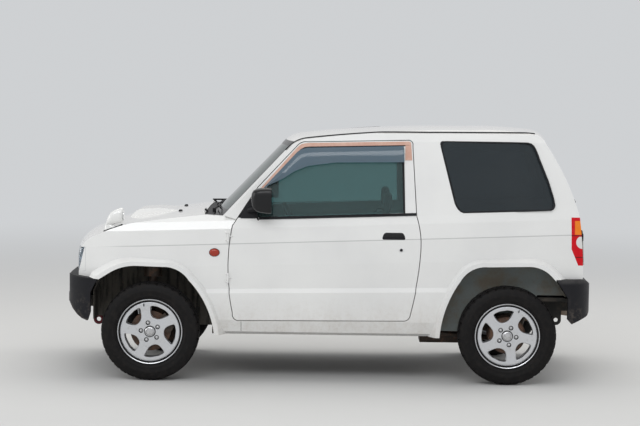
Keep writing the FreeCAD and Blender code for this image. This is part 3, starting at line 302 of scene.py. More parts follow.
def silverAlloy():
    f = Finish("silverAlloy", metal=0.82, coat=0.35, coatRough=0.12)
    soot = f.noise(45.0, 5.0, 0.7).rise(0.5, 0.78)
    f.feed("colour", f.mix(soot * 0.3, (0.66, 0.67, 0.69), (0.30, 0.27, 0.24)))
    f.feed("rough", 0.30 + soot * 0.18)
    f.bump(f.noise(1200.0, 2.0), 0.0002, 0.3)
    return f.material


def tyreRubber():
    f = Finish("tyreRubber", shine=0.2)
    dust = f.noise(34.0, 5.0, 0.65).rise(0.42, 0.78)
    f.feed("colour", f.mix(dust * 0.4, (0.0045, 0.004, 0.0042), (0.034, 0.029, 0.026)))
    f.feed("rough", 0.58 + dust * 0.25)
    f.bump(f.noise(500.0, 3.0), 0.0006, 0.5)
    return f.material


def tintedGlass(name, colour, clear, rough=0.0):
    f = Finish(name, clear=clear, index=1.45)
    tintPatches = f.noise(3.0, 5.0, 0.6).rise(0.4, 0.8)
    f.feed("colour", f.mix(tintPatches * 0.05, colour, (0.5, 0.5, 0.48)))
    f.feed("rough", rough)
    return f.material


# The windscreen's dark edge: its side at a height, how it leans, then top and foot
screenLook = {
    "glass": (0.05, 0.10, 0.09),
    "band": (0.025, 0.06, 0.055),
    "bandHeights": (1.38, 1.5),
    "edge": (0.01, 0.01, 0.01),
    "sideAt": (0.606, 1.058),
    "sideLean": 0.1646,
    "sideFade": (-0.034, -0.030),
    "topFade": (1.500, 1.506),
    "footFade": (1.090, 1.094),
}


def screenGlass(look):
    f = Finish("screenGlass", clear=0.7, index=1.45, shine=0.02)
    half, height = look["sideAt"]
    edge = abs(f.y) + (f.z - height) * look["sideLean"] - half
    frit = edge.rise(*look["sideFade"]).most(f.z.rise(*look["topFade"])).most(1 - f.z.rise(*look["footFade"]))
    band = f.z.rise(*look["bandHeights"])
    green = f.mix(band * 0.6, look["glass"], look["band"])
    f.feed("colour", f.mix(frit, green, look["edge"]))
    f.feed("rough", frit * 0.2)
    return f.material


def headLens():
    f = Finish("headLens", clear=0.95, index=1.45)
    flute = ((abs(f.y) * 420).sine() + 1) * 0.5
    haze = f.noise(12.0, 4.0).rise(0.4, 0.8)
    f.feed("colour", f.mix(haze * 0.3, (0.60, 0.65, 0.70), (0.5, 0.53, 0.55)))
    f.feed("rough", 0.03 + haze * 0.12)
    f.bump(flute, 0.0012, 0.35)
    return f.material


tailLook = {
    "red": (0.60, 0.0, 0.008),
    "amber": (0.85, 0.22, 0.01),
    "white": (0.72, 0.72, 0.70),
    "dark": (0.14, 0.004, 0.006),
    "fade": 0.003,
    "face": 1.560,
    "amberHeights": (0.965, 1.052),
    "whiteSpot": (1.612, 0.918),
    "whiteReach": 0.040,
    "whiteTop": 0.952,
    "seams": (0.960, 0.822),
    "ribs": 900,
}


def tailLens(look):
    f = Finish("tailLens", coat=0.2, coatRough=0.03, rough=0.4, shine=0.15)

    def beyond(value, edge):
        return value.rise(edge, edge + look["fade"])

    low, high = look["amberHeights"]
    amber = beyond(f.x, look["face"]) * beyond(f.z, low) * (1 - beyond(f.z, high))
    middle, height = look["whiteSpot"]
    reach = ((f.z - height) ** 2.0 + (middle - f.x).most(0.0) ** 2.0) ** 0.5
    white = (1 - beyond(reach, look["whiteReach"])) * (1 - beyond(f.z, look["whiteTop"]))
    colour = f.mix(amber, look["red"], look["amber"])
    colour = f.mix(white, colour, look["white"])
    upper, lower = [1 - abs(f.z - seam).rise(0.002, 0.004) for seam in look["seams"]]
    colour = f.mix(upper.most(lower), colour, look["dark"])
    ribs, grain = [((way * look["ribs"]).sine() + 1) * 0.5 for way in (f.z, f.y)]
    f.feed("colour", f.mix(ribs * grain * 0.06, colour, (0.9, 0.35, 0.3)))
    f.bump(ribs + grain, 0.001, 0.3)
    return f.material


def dashPlastic():
    f = Finish("dashPlastic")
    wear = f.noise(8.0, 4.0).rise(0.45, 0.75)
    f.feed("colour", f.mix(wear * 0.35, (0.055, 0.056, 0.06), (0.12, 0.12, 0.122)))
    f.feed("rough", 0.58 + wear * 0.12)
    f.bump(f.noise(700.0, 3.0, 0.6), 0.0006, 0.7)
    return f.material


def seatCloth():
    f = Finish("seatCloth", rough=0.92, sheen=0.35)
    warp = (f.x * 2600).sine() * (f.z * 2600).sine()
    weft = (f.y * 2600).sine()
    weave = (warp + weft) * 0.25 + 0.5
    fleck = f.noise(140.0, 4.0, 0.7).rise(0.5, 0.75)
    cloth = f.mix(fleck * 0.6, (0.075, 0.078, 0.088), (0.20, 0.205, 0.22))
    f.feed("colour", f.mix(weave * 0.3, cloth, (0.03, 0.03, 0.035)))
    f.bump(weave + f.noise(300.0, 3.0) * 0.4, 0.0008, 0.6)
    return f.material


def fadedTape():
    f = Finish("fadedTape")
    age = f.noise(16.0, 5.0, 0.65).rise(0.35, 0.75)
    f.feed("colour", f.mix(age, (0.58, 0.33, 0.25), (0.68, 0.45, 0.36)))
    f.feed("rough", 0.42 + age * 0.2)
    f.bump(f.noise(180.0, 3.0), 0.0006, 0.4)
    return f.material


def plainMetal(name, colour, rough):
    f = Finish(name, metal=1.0)
    haze = f.noise(60.0, 5.0, 0.7).rise(0.45, 0.75)
    f.feed("colour", f.mix(haze * 0.45, colour, (0.22, 0.2, 0.18)))
    f.feed("rough", rough + haze * 0.2)
    f.bump(f.noise(800.0, 2.0), 0.0003, 0.4)
    return f.material


def colouredPlastic(name, colour, rough, coat=0.35):
    f = Finish(name, coat=coat, coatRough=0.04, shine=0.35)
    age = f.noise(26.0, 4.0).rise(0.4, 0.8)
    dark = tuple(part * 0.55 for part in colour)
    f.feed("colour", f.mix(age * 0.5, colour, dark))
    f.feed("rough", rough + age * 0.12)
    f.bump(f.noise(400.0, 2.0), 0.0004, 0.3)
    return f.material


finishes = {
    "paint": whitePaint(paintLook),
    "underbody": underseal(),
    "trim_black": trimBlack(),
    "bumper_black": bumperBlack(bumperLook),
    "liner": archLiner(linerLook),
    "lamp_clear": headLens(),
    "lamp_red": tailLens(tailLook),
    "glass_green": tintedGlass("greenGlass", (0.24, 0.40, 0.40), 0.9),
    "glass_dark": tintedGlass("darkGlass", (0.06, 0.085, 0.10), 0.75),
    "engine": rustedIron("engineIron", (0.28, 0.28, 0.28), (0.20, 0.13, 0.09), 0.3),
    "chassis_black": rustedIron("chassisIron", (0.035, 0.033, 0.03), (0.16, 0.08, 0.045), 0.45),
    "exhaust_steel": rustedIron("exhaustSteel", (0.32, 0.27, 0.22), (0.24, 0.13, 0.07), 0.5),
    "dash_grey": dashPlastic(),
    "seat_cloth": seatCloth(),
    "alloy": silverAlloy(),
    "tyre": tyreRubber(),
    "rust_iron": rustedIron("rustIron", (0.06, 0.045, 0.038), (0.12, 0.062, 0.038), 0.8),
}
tape = fadedTape()
chrome = plainMetal("lampChrome", (0.86, 0.87, 0.88), 0.08)
nutSteel = plainMetal("nutSteel", (0.62, 0.62, 0.63), 0.28)
# a matte near-black, used for the painted shade in the nut recesses as well as for the sill seam and the
# grille backing
wellBlack = trimBlack("wellBlack", (0.006, 0.006, 0.006), 0.8)
glossBlack = colouredPlastic("glossBlack", (0.005, 0.005, 0.006), 0.3, 0.06)
markerRed = colouredPlastic("markerRed", (0.36, 0.03, 0.012), 0.2, 0.3)
hookRed = colouredPlastic("hookRed", (0.12, 0.010, 0.016), 0.6, 0.05)
smoked = tintedGlass("smokedVisor", (0.16, 0.23, 0.29), 0.45, 0.08)
lampSilver = plainMetal("lampSilver", (0.62, 0.64, 0.66), 0.22)
plateWhite = colouredPlastic("plateWhite", (0.66, 0.66, 0.63), 0.4, 0.3)
for part in frame["record"]["subparts"]:
    mesh = nodes[part["node"]].data
    mesh.materials.clear()
    mesh.materials.append(finishes[part["material_slot"]])
nodes["windscreen"].data.materials[0] = screenGlass(screenLook)
print("finishes made,", len(bpy.data.materials))


# Helpers for the pieces: a bmesh goes in, an object that rides on a body comes out
def finishPiece(name, form, body, slotName, finish=None, bevel=0.0, steps=2, sharp=38):
    bmesh.ops.recalc_face_normals(form, faces=form.faces)
    if form.calc_volume(signed=True) < 0:
        bmesh.ops.reverse_faces(form, faces=form.faces)
    for face in form.faces:
        face.smooth = True
    mesh = bpy.data.meshes.new(name)
    form.to_mesh(mesh)
    form.free()
    mesh.set_sharp_from_angle(angle=math.radians(sharp))
    mesh.materials.append(finish or finishes[slotName])
    piece = bpy.data.objects.new(name, mesh)
    scene.collection.objects.link(piece)
    if bevel:
        rounding = piece.modifiers.new("edges", "BEVEL")
        rounding.width, rounding.segments = bevel, steps
        rounding.limit_method, rounding.angle_limit = "ANGLE", math.radians(32)
        rounding.harden_normals = True
    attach(piece, body)
    return piece


# The form less the cutter; both are used up
def cutAway(form, cutter, rounding=0.0, selfCrossing=False):
    holders = []
    for label, each in (("whole", form), ("cutter", cutter)):
        bmesh.ops.recalc_face_normals(each, faces=each.faces)
        mesh = bpy.data.meshes.new(label)
        each.to_mesh(mesh)
        each.free()
        holders.append(bpy.data.objects.new(label, mesh))
        scene.collection.objects.link(holders[-1])
    whole, other = holders
    cut = whole.modifiers.new("cut", "BOOLEAN")
    cut.object, cut.operation, cut.solver, cut.use_self = other, "DIFFERENCE", "EXACT", selfCrossing
    if rounding:
        edges = whole.modifiers.new("edges", "BEVEL")
        edges.width, edges.segments, edges.loop_slide = rounding, 3, False
        edges.limit_method, edges.angle_limit = "ANGLE", math.radians(34)
    result = bmesh.new()
    shown = whole.evaluated_get(bpy.context.evaluated_depsgraph_get())
    result.from_mesh(bpy.data.meshes.new_from_object(shown))
    for each in holders:
        bpy.data.objects.remove(each)
    return result


def movedBy(form, made, way):
    verts = [item for item in made["geom"] if isinstance(item, bmesh.types.BMVert)]
    bmesh.ops.translate(form, verts=verts, vec=way)
    return verts


# A flat outline pulled along a way, its corners rounded first
def slab(points, way, rounding=0.0, segments=3, form=None):
    form = form or bmesh.new()
    face = form.faces.new([form.verts.new(point) for point in points])
    if rounding:
        corners = list(face.verts)
        bmesh.ops.bevel(form, geom=corners, offset=rounding, segments=segments, profile=0.5,
                        affect="VERTICES", material=-1)
    face = next(each for each in reversed(form.faces[:]) if len(each.verts) >= len(points))
    movedBy(form, bmesh.ops.extrude_face_region(form, geom=[face]), way)
    return form


# A profile of radius and place along the axle, spun round the axle
def spun(profile, steps=64, centre=(0, 0, 0), closed=True, form=None):
    form = form or bmesh.new()
    centre = Vector(centre)
    ring = [form.verts.new(centre + Vector((0, along, radius))) for radius, along in profile]
    pairs = list(zip(ring, ring[1:])) + ([(ring[-1], ring[0])] if closed else [])
    edges = [form.edges.new(pair) for pair in pairs]
    bmesh.ops.spin(form, geom=ring + edges, cent=centre, axis=(0, 1, 0), dvec=(0, 0, 0),
                   angle=math.tau, steps=steps, use_merge=True, use_duplicate=False)
    bmesh.ops.remove_doubles(form, verts=form.verts, dist=1e-5)
    return form


def skinTree(*names):
    form = bmesh.new()
    for name in names:
        form.from_mesh(nodes[name].data)
    return BVHTree.FromBMesh(form)


bothSides = ((-1, "left"), (1, "right"))
sideSkin = {}
for side, name in bothSides:
    sideSkin[side] = skinTree(f"fender_{name}", f"door_{name}_panel", f"door_{name}_glass",
                              f"body_side_{name}", "roof_panel", "quarter_glass", "front_bumper",
                              "rear_bumper", "headlamps")


# A point of the car's side as seen from beside it
def sidePoint(side, x, z):
    hit = sideSkin[side].ray_cast(Vector((x, side * 1.3, z)), Vector((0, -side, 0)))
    return hit[0] or Vector((x, side * 0.7, z))


def spread(row, count):
    # the row's points again, evenly spaced
    row = [Vector(point) for point in row]
    lengths = [0.0]
    for first, second in zip(row, row[1:]):
        lengths.append(lengths[-1] + (second - first).length)
    result = []
    for step in range(count):
        want = lengths[-1] * step / (count - 1)
        span = max(k for k in range(len(row) - 1) if lengths[k] <= want + 1e-9)
        share = (want - lengths[span]) / max(lengths[span + 1] - lengths[span], 1e-9)
        result.append(row[span].lerp(row[span + 1], min(share, 1)))
    return result


def offsetRow(row, amount):
    # the row moved sideways by amount
    row = [Vector(point) for point in row]
    moved = []
    for number, point in enumerate(row):
        ahead = row[min(number + 1, len(row) - 1)] - row[max(number - 1, 0)]
        way = Vector((-ahead.y, ahead.x)).normalized()
        moved.append(tuple(point + way * amount))
    return moved


# A round bar along points, smooth where asked
def tube(points, radius, smooth=True, sides=10):
    data = bpy.data.curves.new("tube", "CURVE")
    data.dimensions = "3D"
    data.bevel_depth, data.bevel_resolution = radius, max(sides // 4, 1)
    data.use_fill_caps = True
    spline = data.splines.new("NURBS" if smooth else "POLY")
    spline.points.add(len(points) - 1)
    for spot, point in zip(spline.points, points):
        spot.co = (*point, 1)
    if smooth:
        spline.order_u, spline.use_endpoint_u = 3, True
    holder = bpy.data.objects.new("tube", data)
    form = bmesh.new()
    form.from_mesh(bpy.data.meshes.new_from_object(holder))
    bpy.data.objects.remove(holder)
    bmesh.ops.remove_doubles(form, verts=form.verts, dist=1e-6)
    return form


def merged(*forms):
    whole = forms[0]
    for form in forms[1:]:
        mesh = bpy.data.meshes.new("join")
        form.to_mesh(mesh)
        form.free()
        whole.from_mesh(mesh)
        bpy.data.meshes.remove(mesh)
    return whole


def superRing(centre, axisA, axisB, power, count):
    # a rounded rectangle or oval about a centre, by its two half axes
    ring = []
    for step in range(count):
        angle = math.tau * step / count
        a, b = math.cos(angle), math.sin(angle)
        ring.append(Vector(centre) + Vector(axisA) * math.copysign(abs(a) ** (2 / power), a)
                    + Vector(axisB) * math.copysign(abs(b) ** (2 / power), b))
    return ring


def loft(rings):
    # rings of points bridged one to the next, the ends closed
    form = bmesh.new()
    loops, ends = [], []
    for ring in rings:
        verts = [form.verts.new(point) for point in ring]
        loops.append([form.edges.new((verts[k - 1], verts[k])) for k in range(len(verts))])
        ends.append(verts)
    for first, second in zip(loops, loops[1:]):
        bmesh.ops.bridge_loops(form, edges=first + second)
    form.faces.new(ends[0])
    form.faces.new(ends[-1])
    return form


def stacked(centre, axis, rows, power, count):
    # ovals one beyond the other along X or Z; a row says how far, both half axes and perhaps a power
    rings = []
    for step, first, second, *own in rows:
        if axis == "X":
            way, pair = (step, 0, 0), ((0, first, 0), (0, 0, second))
        else:
            way, pair = (0, 0, step), ((first, 0, 0), (0, second, 0))
        rings.append(superRing(Vector(centre) + Vector(way), *pair, own[0] if own else power, count))
    return loft(rings)


def turned(form, degrees, axis, spot):
    # turned about the origin, then set at a spot
    turn = Matrix.Rotation(math.radians(degrees), 3, axis)
    bmesh.ops.rotate(form, verts=form.verts, cent=(0, 0, 0), matrix=turn)
    bmesh.ops.translate(form, verts=form.verts, vec=spot)
    return form


def upright(x, near, far, low, high):
    # a rectangle across the car
    return [(x, near, low), (x, far, low), (x, far, high), (x, near, high)]


def boxForm(low, high, rounding=0.0):
    x, y, z = low
    return slab([(x, y, z), (high[0], y, z), (high[0], high[1], z), (x, high[1], z)], (0, 0, high[2] - z),
                rounding)


# Wheels: drawn about the hub with the road side towards -Y, then set on each corner
corners = {
    "front_left": {"spot": (-1.14, -0.645, 0.314), "turn": 0, "phase": -13},
    "front_right": {"spot": (-1.14, 0.645, 0.314), "turn": 180, "phase": -13},
    "rear_left": {"spot": (1.14, -0.645, 0.314), "turn": 0, "phase": 24},
    "rear_right": {"spot": (1.14, 0.645, 0.314), "turn": 180, "phase": 24},
}
tyreShape = {
    "steps": 144,
    "half": [
        (0.1905, 0.0635), (0.2035, 0.066), (0.2105, 0.0655), (0.2135, 0.069), (0.2200, 0.0765),
        (0.2290, 0.0815), (0.2310, 0.0825), (0.2330, 0.0820), (0.2460, 0.0855), (0.2600, 0.0872),
        (0.2640, 0.0875), (0.2660, 0.0868), (0.2780, 0.0855), (0.2860, 0.0832), (0.2905, 0.0815),
        (0.3000, 0.0775), (0.3065, 0.0725), (0.3115, 0.0655), (0.3128, 0.0560), (0.3130, 0.0420),
        (0.3060, 0.0405), (0.3060, 0.0350), (0.3134, 0.0335), (0.3138, 0.0120), (0.3065, 0.0105),
        (0.3065, 0.0045), (0.3140, 0.0030),
    ],
    "lugInner": 0.2995,
    "lugFrom": 0.0425,
    "blockInner": 0.3125,
    "blockSpan": (0.0125, 0.033),
    "slotDepth": 0.0075,
    "slotEvery": 4,
}
rimShape = {
    "steps": 90,
    "spokes": 5,
    "rounding": 0.0035,
    "section": [
        (0.0, -0.0560), (0.0400, -0.0600), (0.0760, -0.0615), (0.0900, -0.0600), (0.1150, -0.0590),
        (0.1450, -0.0600), (0.1700, -0.0605), (0.1800, -0.0615), (0.1875, -0.0600), (0.1905, -0.0545),
        (0.1955, -0.0545), (0.1990, -0.0600), (0.2020, -0.0690), (0.2060, -0.0710), (0.2085, -0.0690),
        (0.2085, -0.0640), (0.1905, -0.0630), (0.1905, -0.0400), (0.1740, -0.0250), (0.1740, 0.0240),
        (0.1905, 0.0390), (0.1905, 0.0640), (0.2080, 0.0640), (0.2080, 0.0700), (0.2000, 0.0700),
        (0.1830, 0.0640), (0.1830, 0.0420), (0.1660, 0.0270), (0.1660, -0.0250), (0.1620, -0.0330),
        (0.1200, -0.0340), (0.0800, -0.0400), (0.0, -0.0400),
    ],
    # radius and angle from the middle of the opening
    "window": [
        (0.0835, 0), (0.0865, 11), (0.0985, 20), (0.1180, 24.5), (0.1400, 26), (0.1600, 26.8),
        (0.1690, 25.5), (0.1715, 21), (0.1720, 10),
    ],
    "windowFace": -0.09,
    "windowDepth": 0.095,
    "windowNarrow": 0.66,
    "swirl": 5,
    "swirlFrom": 0.128,
    "swirlOver": 0.09,
    "nutRing": 0.05715,
    "nutWell": 0.0140,
    "wellTop": -0.08,
    "wellFloor": -0.0470,
    # sides, both radii, height and place along the axle
    "nutCones": [(6, 0.0098, 0.0088, 0.016, -0.0545), (20, 0.0125, 0.0105, 0.004, -0.0480)],
    "nutDome": (0.0078, -0.0620),
    "cap": [
        (0.0, -0.0765), (0.012, -0.0762), (0.0215, -0.0745), (0.0228, -0.0725), (0.0240, -0.0745),
        (0.0285, -0.0725), (0.0318, -0.0690), (0.0325, -0.0600), (0.0325, -0.0450), (0.0, -0.0450),
    ],
    "capRing": [(0.0326, -0.0632), (0.0365, -0.0632), (0.0365, -0.0590), (0.0326, -0.0590)],
    # a dark sleeve deep in each nut recess: painted shade
    "wellShadeLiner": [
        (0.0104, -0.0475), (0.0139, -0.0475), (0.0142, -0.0600), (0.0136, -0.0600), (0.0132, -0.0490),
        (0.0104, -0.0490),
    ],
    "valve": [(0.0, -0.060, 0.181), (0.0, -0.068, 0.176), (0.0, -0.078, 0.168)],
    "valveRadius": 0.0032,
}


def tyreForm(shape):
    # tread grooves from the profile, lugs and blocks parted by slots pressed in
    profile = [(radius, -along) for radius, along in shape["half"]]
    profile += [(radius, along) for radius, along in reversed(shape["half"])]
    form = spun(profile, shape["steps"])
    near, far = shape["blockSpan"]
    every = shape["slotEvery"]
    slots = {}
    for face in form.faces:
        middle = face.calc_center_median()
        reach, away = math.hypot(middle.x, middle.z), abs(middle.y)
        column = int((math.atan2(middle.x, middle.z) + math.pi) / math.tau * shape["steps"])
        shifted = column + (2 if middle.y > 0 else 0)
        outer = reach > shape["lugInner"] and away > shape["lugFrom"]
        inner = reach > shape["blockInner"] and near < away < far
        if (outer and shifted % every == 0) or (inner and shifted % (2 * every) == 3):
            slots.setdefault((column, middle.y > 0, outer), []).append(face)
    for faces in slots.values():
        made = bmesh.ops.extrude_face_region(form, geom=faces)
        bmesh.ops.delete(form, geom=faces, context="FACES_KEEP_BOUNDARY")
        for vert in [item for item in made["geom"] if isinstance(item, bmesh.types.BMVert)]:
            reach = math.hypot(vert.co.x, vert.co.z)
            share = (reach - shape["slotDepth"]) / reach
            vert.co.x *= share
            vert.co.z *= share
    return form


def windowCutter(shape, number):
    # a spoke opening that narrows going in
    form = bmesh.new()
    rim = [(radius, -angle) for radius, angle in shape["window"]]
    rim += [(radius, angle) for radius, angle in reversed(shape["window"][1:])]
    points = []
    for radius, angle in rim:
        swirl = (radius - shape["swirlFrom"]) / shape["swirlOver"] * shape["swirl"]
        lean = math.radians(angle + 360 / shape["spokes"] * (number + 0.5) + swirl)
        points.append((radius * math.sin(lean), shape["windowFace"], radius * math.cos(lean)))
    face = form.faces.new([form.verts.new(point) for point in points])
    made = bmesh.ops.extrude_face_region(form, geom=[face])
    verts = movedBy(form, made, (0, shape["windowDepth"], 0))
    middle = sum((vert.co for vert in verts), Vector()) / len(verts)
    narrow = (shape["windowNarrow"], 1, shape["windowNarrow"])
    bmesh.ops.scale(form, verts=verts, vec=narrow, space=Matrix.Translation(-middle))
    return form


def nutSpot(number, along=0.0):
    angle = math.tau * number / rimShape["spokes"]
    return Vector((rimShape["nutRing"] * math.sin(angle), along, rimShape["nutRing"] * math.cos(angle)))


def rimForm(shape):
    radius, depth = shape["nutWell"], shape["wellFloor"] - shape["wellTop"]
    well = [(0.0, 0.0), (radius + 0.003, 0.0), (radius + 0.001, 0.02), (radius, depth), (0.0, depth)]
    numbers = range(shape["spokes"])
    cutters = [windowCutter(shape, number) for number in numbers]
    cutters += [spun(well, 24, nutSpot(number, shape["wellTop"]), closed=False) for number in numbers]
    disc = spun(shape["section"], shape["steps"], closed=False)
    return cutAway(disc, merged(*cutters), shape["rounding"])


def nutForms(shape):
    # domed nuts with their washers
    form = bmesh.new()
    turn = Matrix.Rotation(math.pi / 2, 4, "X")
    radius, place = shape["nutDome"]
    for number in range(shape["spokes"]):
        for sides, low, high, depth, along in shape["nutCones"]:
            bmesh.ops.create_cone(form, cap_ends=True, segments=sides, radius1=low, radius2=high, depth=depth,
                                  matrix=Matrix.Translation(nutSpot(number, along)) @ turn)
        dome = Matrix.Translation(nutSpot(number, place)) @ Matrix.Diagonal((1, 0.5, 1, 1))
        bmesh.ops.create_uvsphere(form, u_segments=12, v_segments=8, radius=radius, matrix=dome)
    return form


def wellForm(shape):
    # dark floors of the nut recesses, which are painted shade, and the ring round the cap
    form = spun(shape["capRing"], 48)
    for number in range(shape["spokes"]):
        spun(shape["wellShadeLiner"], 24, nutSpot(number), form=form)
    return form


def setWheels():
    makers = {
        "tyre": (tyreForm(tyreShape), "tyre", None),
        "rim": (rimForm(rimShape), "alloy", None),
        "nuts": (nutForms(rimShape), "alloy", nutSteel),
        "cap": (spun(rimShape["cap"], 48, closed=False), "alloy", nutSteel),
        "wells": (wellForm(rimShape), "trim_black", wellBlack),
        "valve": (tube(rimShape["valve"], rimShape["valveRadius"]), "trim_black", None),
    }
    for corner, facts in corners.items():
        place = Matrix.Translation(facts["spot"]) @ Matrix.Rotation(math.radians(facts["turn"]), 4, "Z")
        place = place @ Matrix.Rotation(math.radians(facts["phase"]), 4, "Y")
        for part, (form, slotName, finish) in makers.items():
            copy = form.copy()
            bmesh.ops.transform(copy, matrix=place, verts=copy.verts)
            piece = finishPiece(f"{part}_{corner}", copy, f"wheel_{corner}", slotName, finish)
            if part in ("tyre", "rim"):
                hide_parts(f"wheel_{corner}_{part}")


setWheels()
print("wheels set")


# Side of the body: outlines in the side view, metres, front to rear
sideLines = {
    "doorEdge": [(-0.598, 1.028), (-0.460, 1.241), (-0.218, 1.500), (-0.190, 1.522), (-0.150, 1.530),
                 (0.503, 1.5475)],
    "window": [(-0.545, 1.078), (-0.480, 1.165), (-0.205, 1.468), (-0.187, 1.481), (-0.160, 1.487),
               (0.452, 1.506)],
    "windowRear": [(0.462, 1.500), (0.473, 1.086)],
    "visorTop": [(-0.425, 1.240), (-0.318, 1.356), (-0.205, 1.478), (-0.160, 1.495), (0.466, 1.514)],
    "visorFoot": [(-0.392, 1.256), (-0.300, 1.300), (-0.231, 1.346), (-0.144, 1.381), (0.031, 1.405),
                  (0.469, 1.412)],
    "quarter": [(0.852, 1.096), (1.390, 1.116), (1.418, 1.124), (1.432, 1.150), (1.426, 1.190),
                (1.392, 1.300), (1.335, 1.440), (1.310, 1.505), (1.290, 1.536), (1.258, 1.545),
                (0.722, 1.548), (0.706, 1.541), (0.701, 1.520), (0.786, 1.187), (0.796, 1.150),
                (0.808, 1.127), (0.824, 1.108), (0.842, 1.098)],
    "beltFoot": [(-0.452, 1.0372), (0.549, 1.0755)],
    "beltTop": [(-0.452, 1.0540), (0.549, 1.0925)],
    "beltLifts": (0.006, 0.008, 0.004),
    "visorLifts": (0.0045, 0.013, 0.021, 0.016),
    "tapeFront": (-0.512, 1.160),
    "channelFront": (-0.487, 1.160),
    "tapeLeg": [[(0.476, 1.5385), (0.476, 1.424)], [(0.512, 1.5385), (0.5205, 1.424)]],
    "tapeEdges": (-0.004, -0.027),
    "sillSeam": [[(-0.5600, 0.393), (-0.5600, 0.318)], [(-0.5575, 0.393), (-0.5575, 0.318)]],
    "sail": [[(-0.597, 1.029), (-0.508, 1.168)], [(-0.452, 1.031), (-0.480, 1.168)]],
    "sailPanel": [(-0.572, 1.044), (-0.470, 1.044), (-0.492, 1.130), (-0.514, 1.130)],
    # the moulding on the roof, by place along the car and from its middle
    "ditch": [(-0.290, 0.5475), (-0.200, 0.5475), (-0.090, 0.5470), (0.100, 0.5440), (0.300, 0.5400),
              (0.440, 0.5360), (0.520, 0.5340), (0.640, 0.5335), (0.700, 0.5290), (0.900, 0.5225),
              (1.100, 0.5130), (1.250, 0.5050), (1.310, 0.5020)],
}
# The leaning plane of the side windows: its foot, half width and fall, both ends a little further out
glassFace = {
    "foot": 1.054,
    "rise": 0.038,
    "half": 0.678,
    "fall": 0.096,
    "high": 0.488,
    "near": 0.007,
    "bulge": 0.002,
    "frontLength": 0.92,
    "rearSlope": 0.0053,
}


# A point on the leaning plane of the side windows' frames, or on the skin below them
def facePoint(side, x, z, lift=0.0):
    facts = glassFace
    foot = facts["foot"] + facts["rise"] * x
    spot = sidePoint(side, x, z)
    if z < foot:
        return spot + Vector((0, side * lift, 0))
    slope = facts["bulge"] / -facts["frontLength"] if x < 0 else facts["rearSlope"]
    inset = x * slope - facts["bulge"]
    wide = facts["half"] - inset - (z - foot) * facts["fall"] / (facts["high"] - facts["rise"] * x)
    if abs(abs(spot.y) - wide) < facts["near"]:
        wide = abs(spot.y)
    return Vector((x, side * (wide + lift), z))


def faceStrip(side, rows, thick, count=32, form=None):
    # rows of points and lifts, bridged one to the next
    form = form or bmesh.new()
    loops = []
    for row, lift in rows:
        verts = [form.verts.new(facePoint(side, x, z, lift)) for x, z in spread(row, count)]
        loops.append([form.edges.new(pair) for pair in zip(verts, verts[1:])])
    faces = []
    for first, second in zip(loops, loops[1:]):
        faces += bmesh.ops.bridge_loops(form, edges=first + second)["faces"]
    movedBy(form, bmesh.ops.extrude_face_region(form, geom=faces), (0, -side * thick, 0))
    return form


def plate(side, outline, lift, thick, rounding=0.0, form=None):
    points = [facePoint(side, x, z, lift) for x, z in outline]
    return slab(points, (0, -side * thick, 0), rounding, 4, form)


def roofPoint(x, y, lift):
    for tree in (sideSkin[-1], sideSkin[1]):
        spot = tree.ray_cast(Vector((x, y, 2.0)), Vector((0, 0, -1)))[0]
        if spot is not None and spot.z > 0.5:
            return spot + Vector((0, 0, lift))
    return Vector((x, y, 1.6))


def tapeForm(side):
    rows = [offsetRow(sideLines["doorEdge"][1:], amount) for amount in sideLines["tapeEdges"]]
    rows[0][0], rows[1][0] = sideLines["tapeFront"], sideLines["channelFront"]
    form = faceStrip(side, [(row, 0.0012) for row in rows], 0.001, 40)
    return faceStrip(side, [(row, 0.0016) for row in sideLines["tapeLeg"]], 0.0012, 6, form)


def channelForm(side):
    outer = offsetRow(sideLines["doorEdge"][1:], sideLines["tapeEdges"][1])
    outer[0] = sideLines["channelFront"]
    window, rear = sideLines["window"][1:], sideLines["windowRear"]
    form = faceStrip(side, [(outer, 0.002), (window, 0.002)], 0.004, 40)
    faceStrip(side, [(window, 0.0017), (offsetRow(window, -0.004), -0.010)], 0.003, 40, form)
    return faceStrip(side, [(offsetRow(rear, way), 0.002) for way in (0.006, -0.006)], 0.006, 6, form)


def visorForm(side):
    top, foot = sideLines["visorTop"], sideLines["visorFoot"]
    middle = [first.lerp(second, 0.42) for first, second in zip(spread(top, 40), spread(foot, 40))]
    rows = zip((top, offsetRow(top, -0.012), middle, foot), sideLines["visorLifts"])
    return faceStrip(side, rows, 0.0025, 40)


def beltForm(side):
    lower, upper = sideLines["beltFoot"], sideLines["beltTop"]
    raised = [(x, z - 0.004) for x, z in upper]
    rows = zip((lower, raised, upper), sideLines["beltLifts"])
    return faceStrip(side, rows, 0.008, 20)


def sealForm(side, outline, lift, wide, thick):
    # a ring round an outline, on the windows' plane
    form = bmesh.new()
    rings = []
    points = spread(outline + [outline[0]], 97)[:-1]
    middle = sum((Vector(point) for point in points), Vector((0, 0))) / len(points)
    for share, high in ((0.0, lift), (0.35, lift + thick), (1.0, lift)):
        ring = []
        for point in points:
            way = (middle - point).normalized()
            spot = point + way * (wide * share - 0.002)
            ring.append(form.verts.new(facePoint(side, spot.x, spot.y, high)))
        rings.append([form.edges.new((ring[k - 1], ring[k])) for k in range(len(ring))])
    for first, second in zip(rings, rings[1:] + rings[:1]):
        bmesh.ops.bridge_loops(form, edges=first + second)
    return form


def sailForm(side):
    form = faceStrip(side, [(row, 0.0015) for row in sideLines["sail"]], 0.010, 8)
    return plate(side, sideLines["sailPanel"], 0.006, 0.005, 0.006, form)


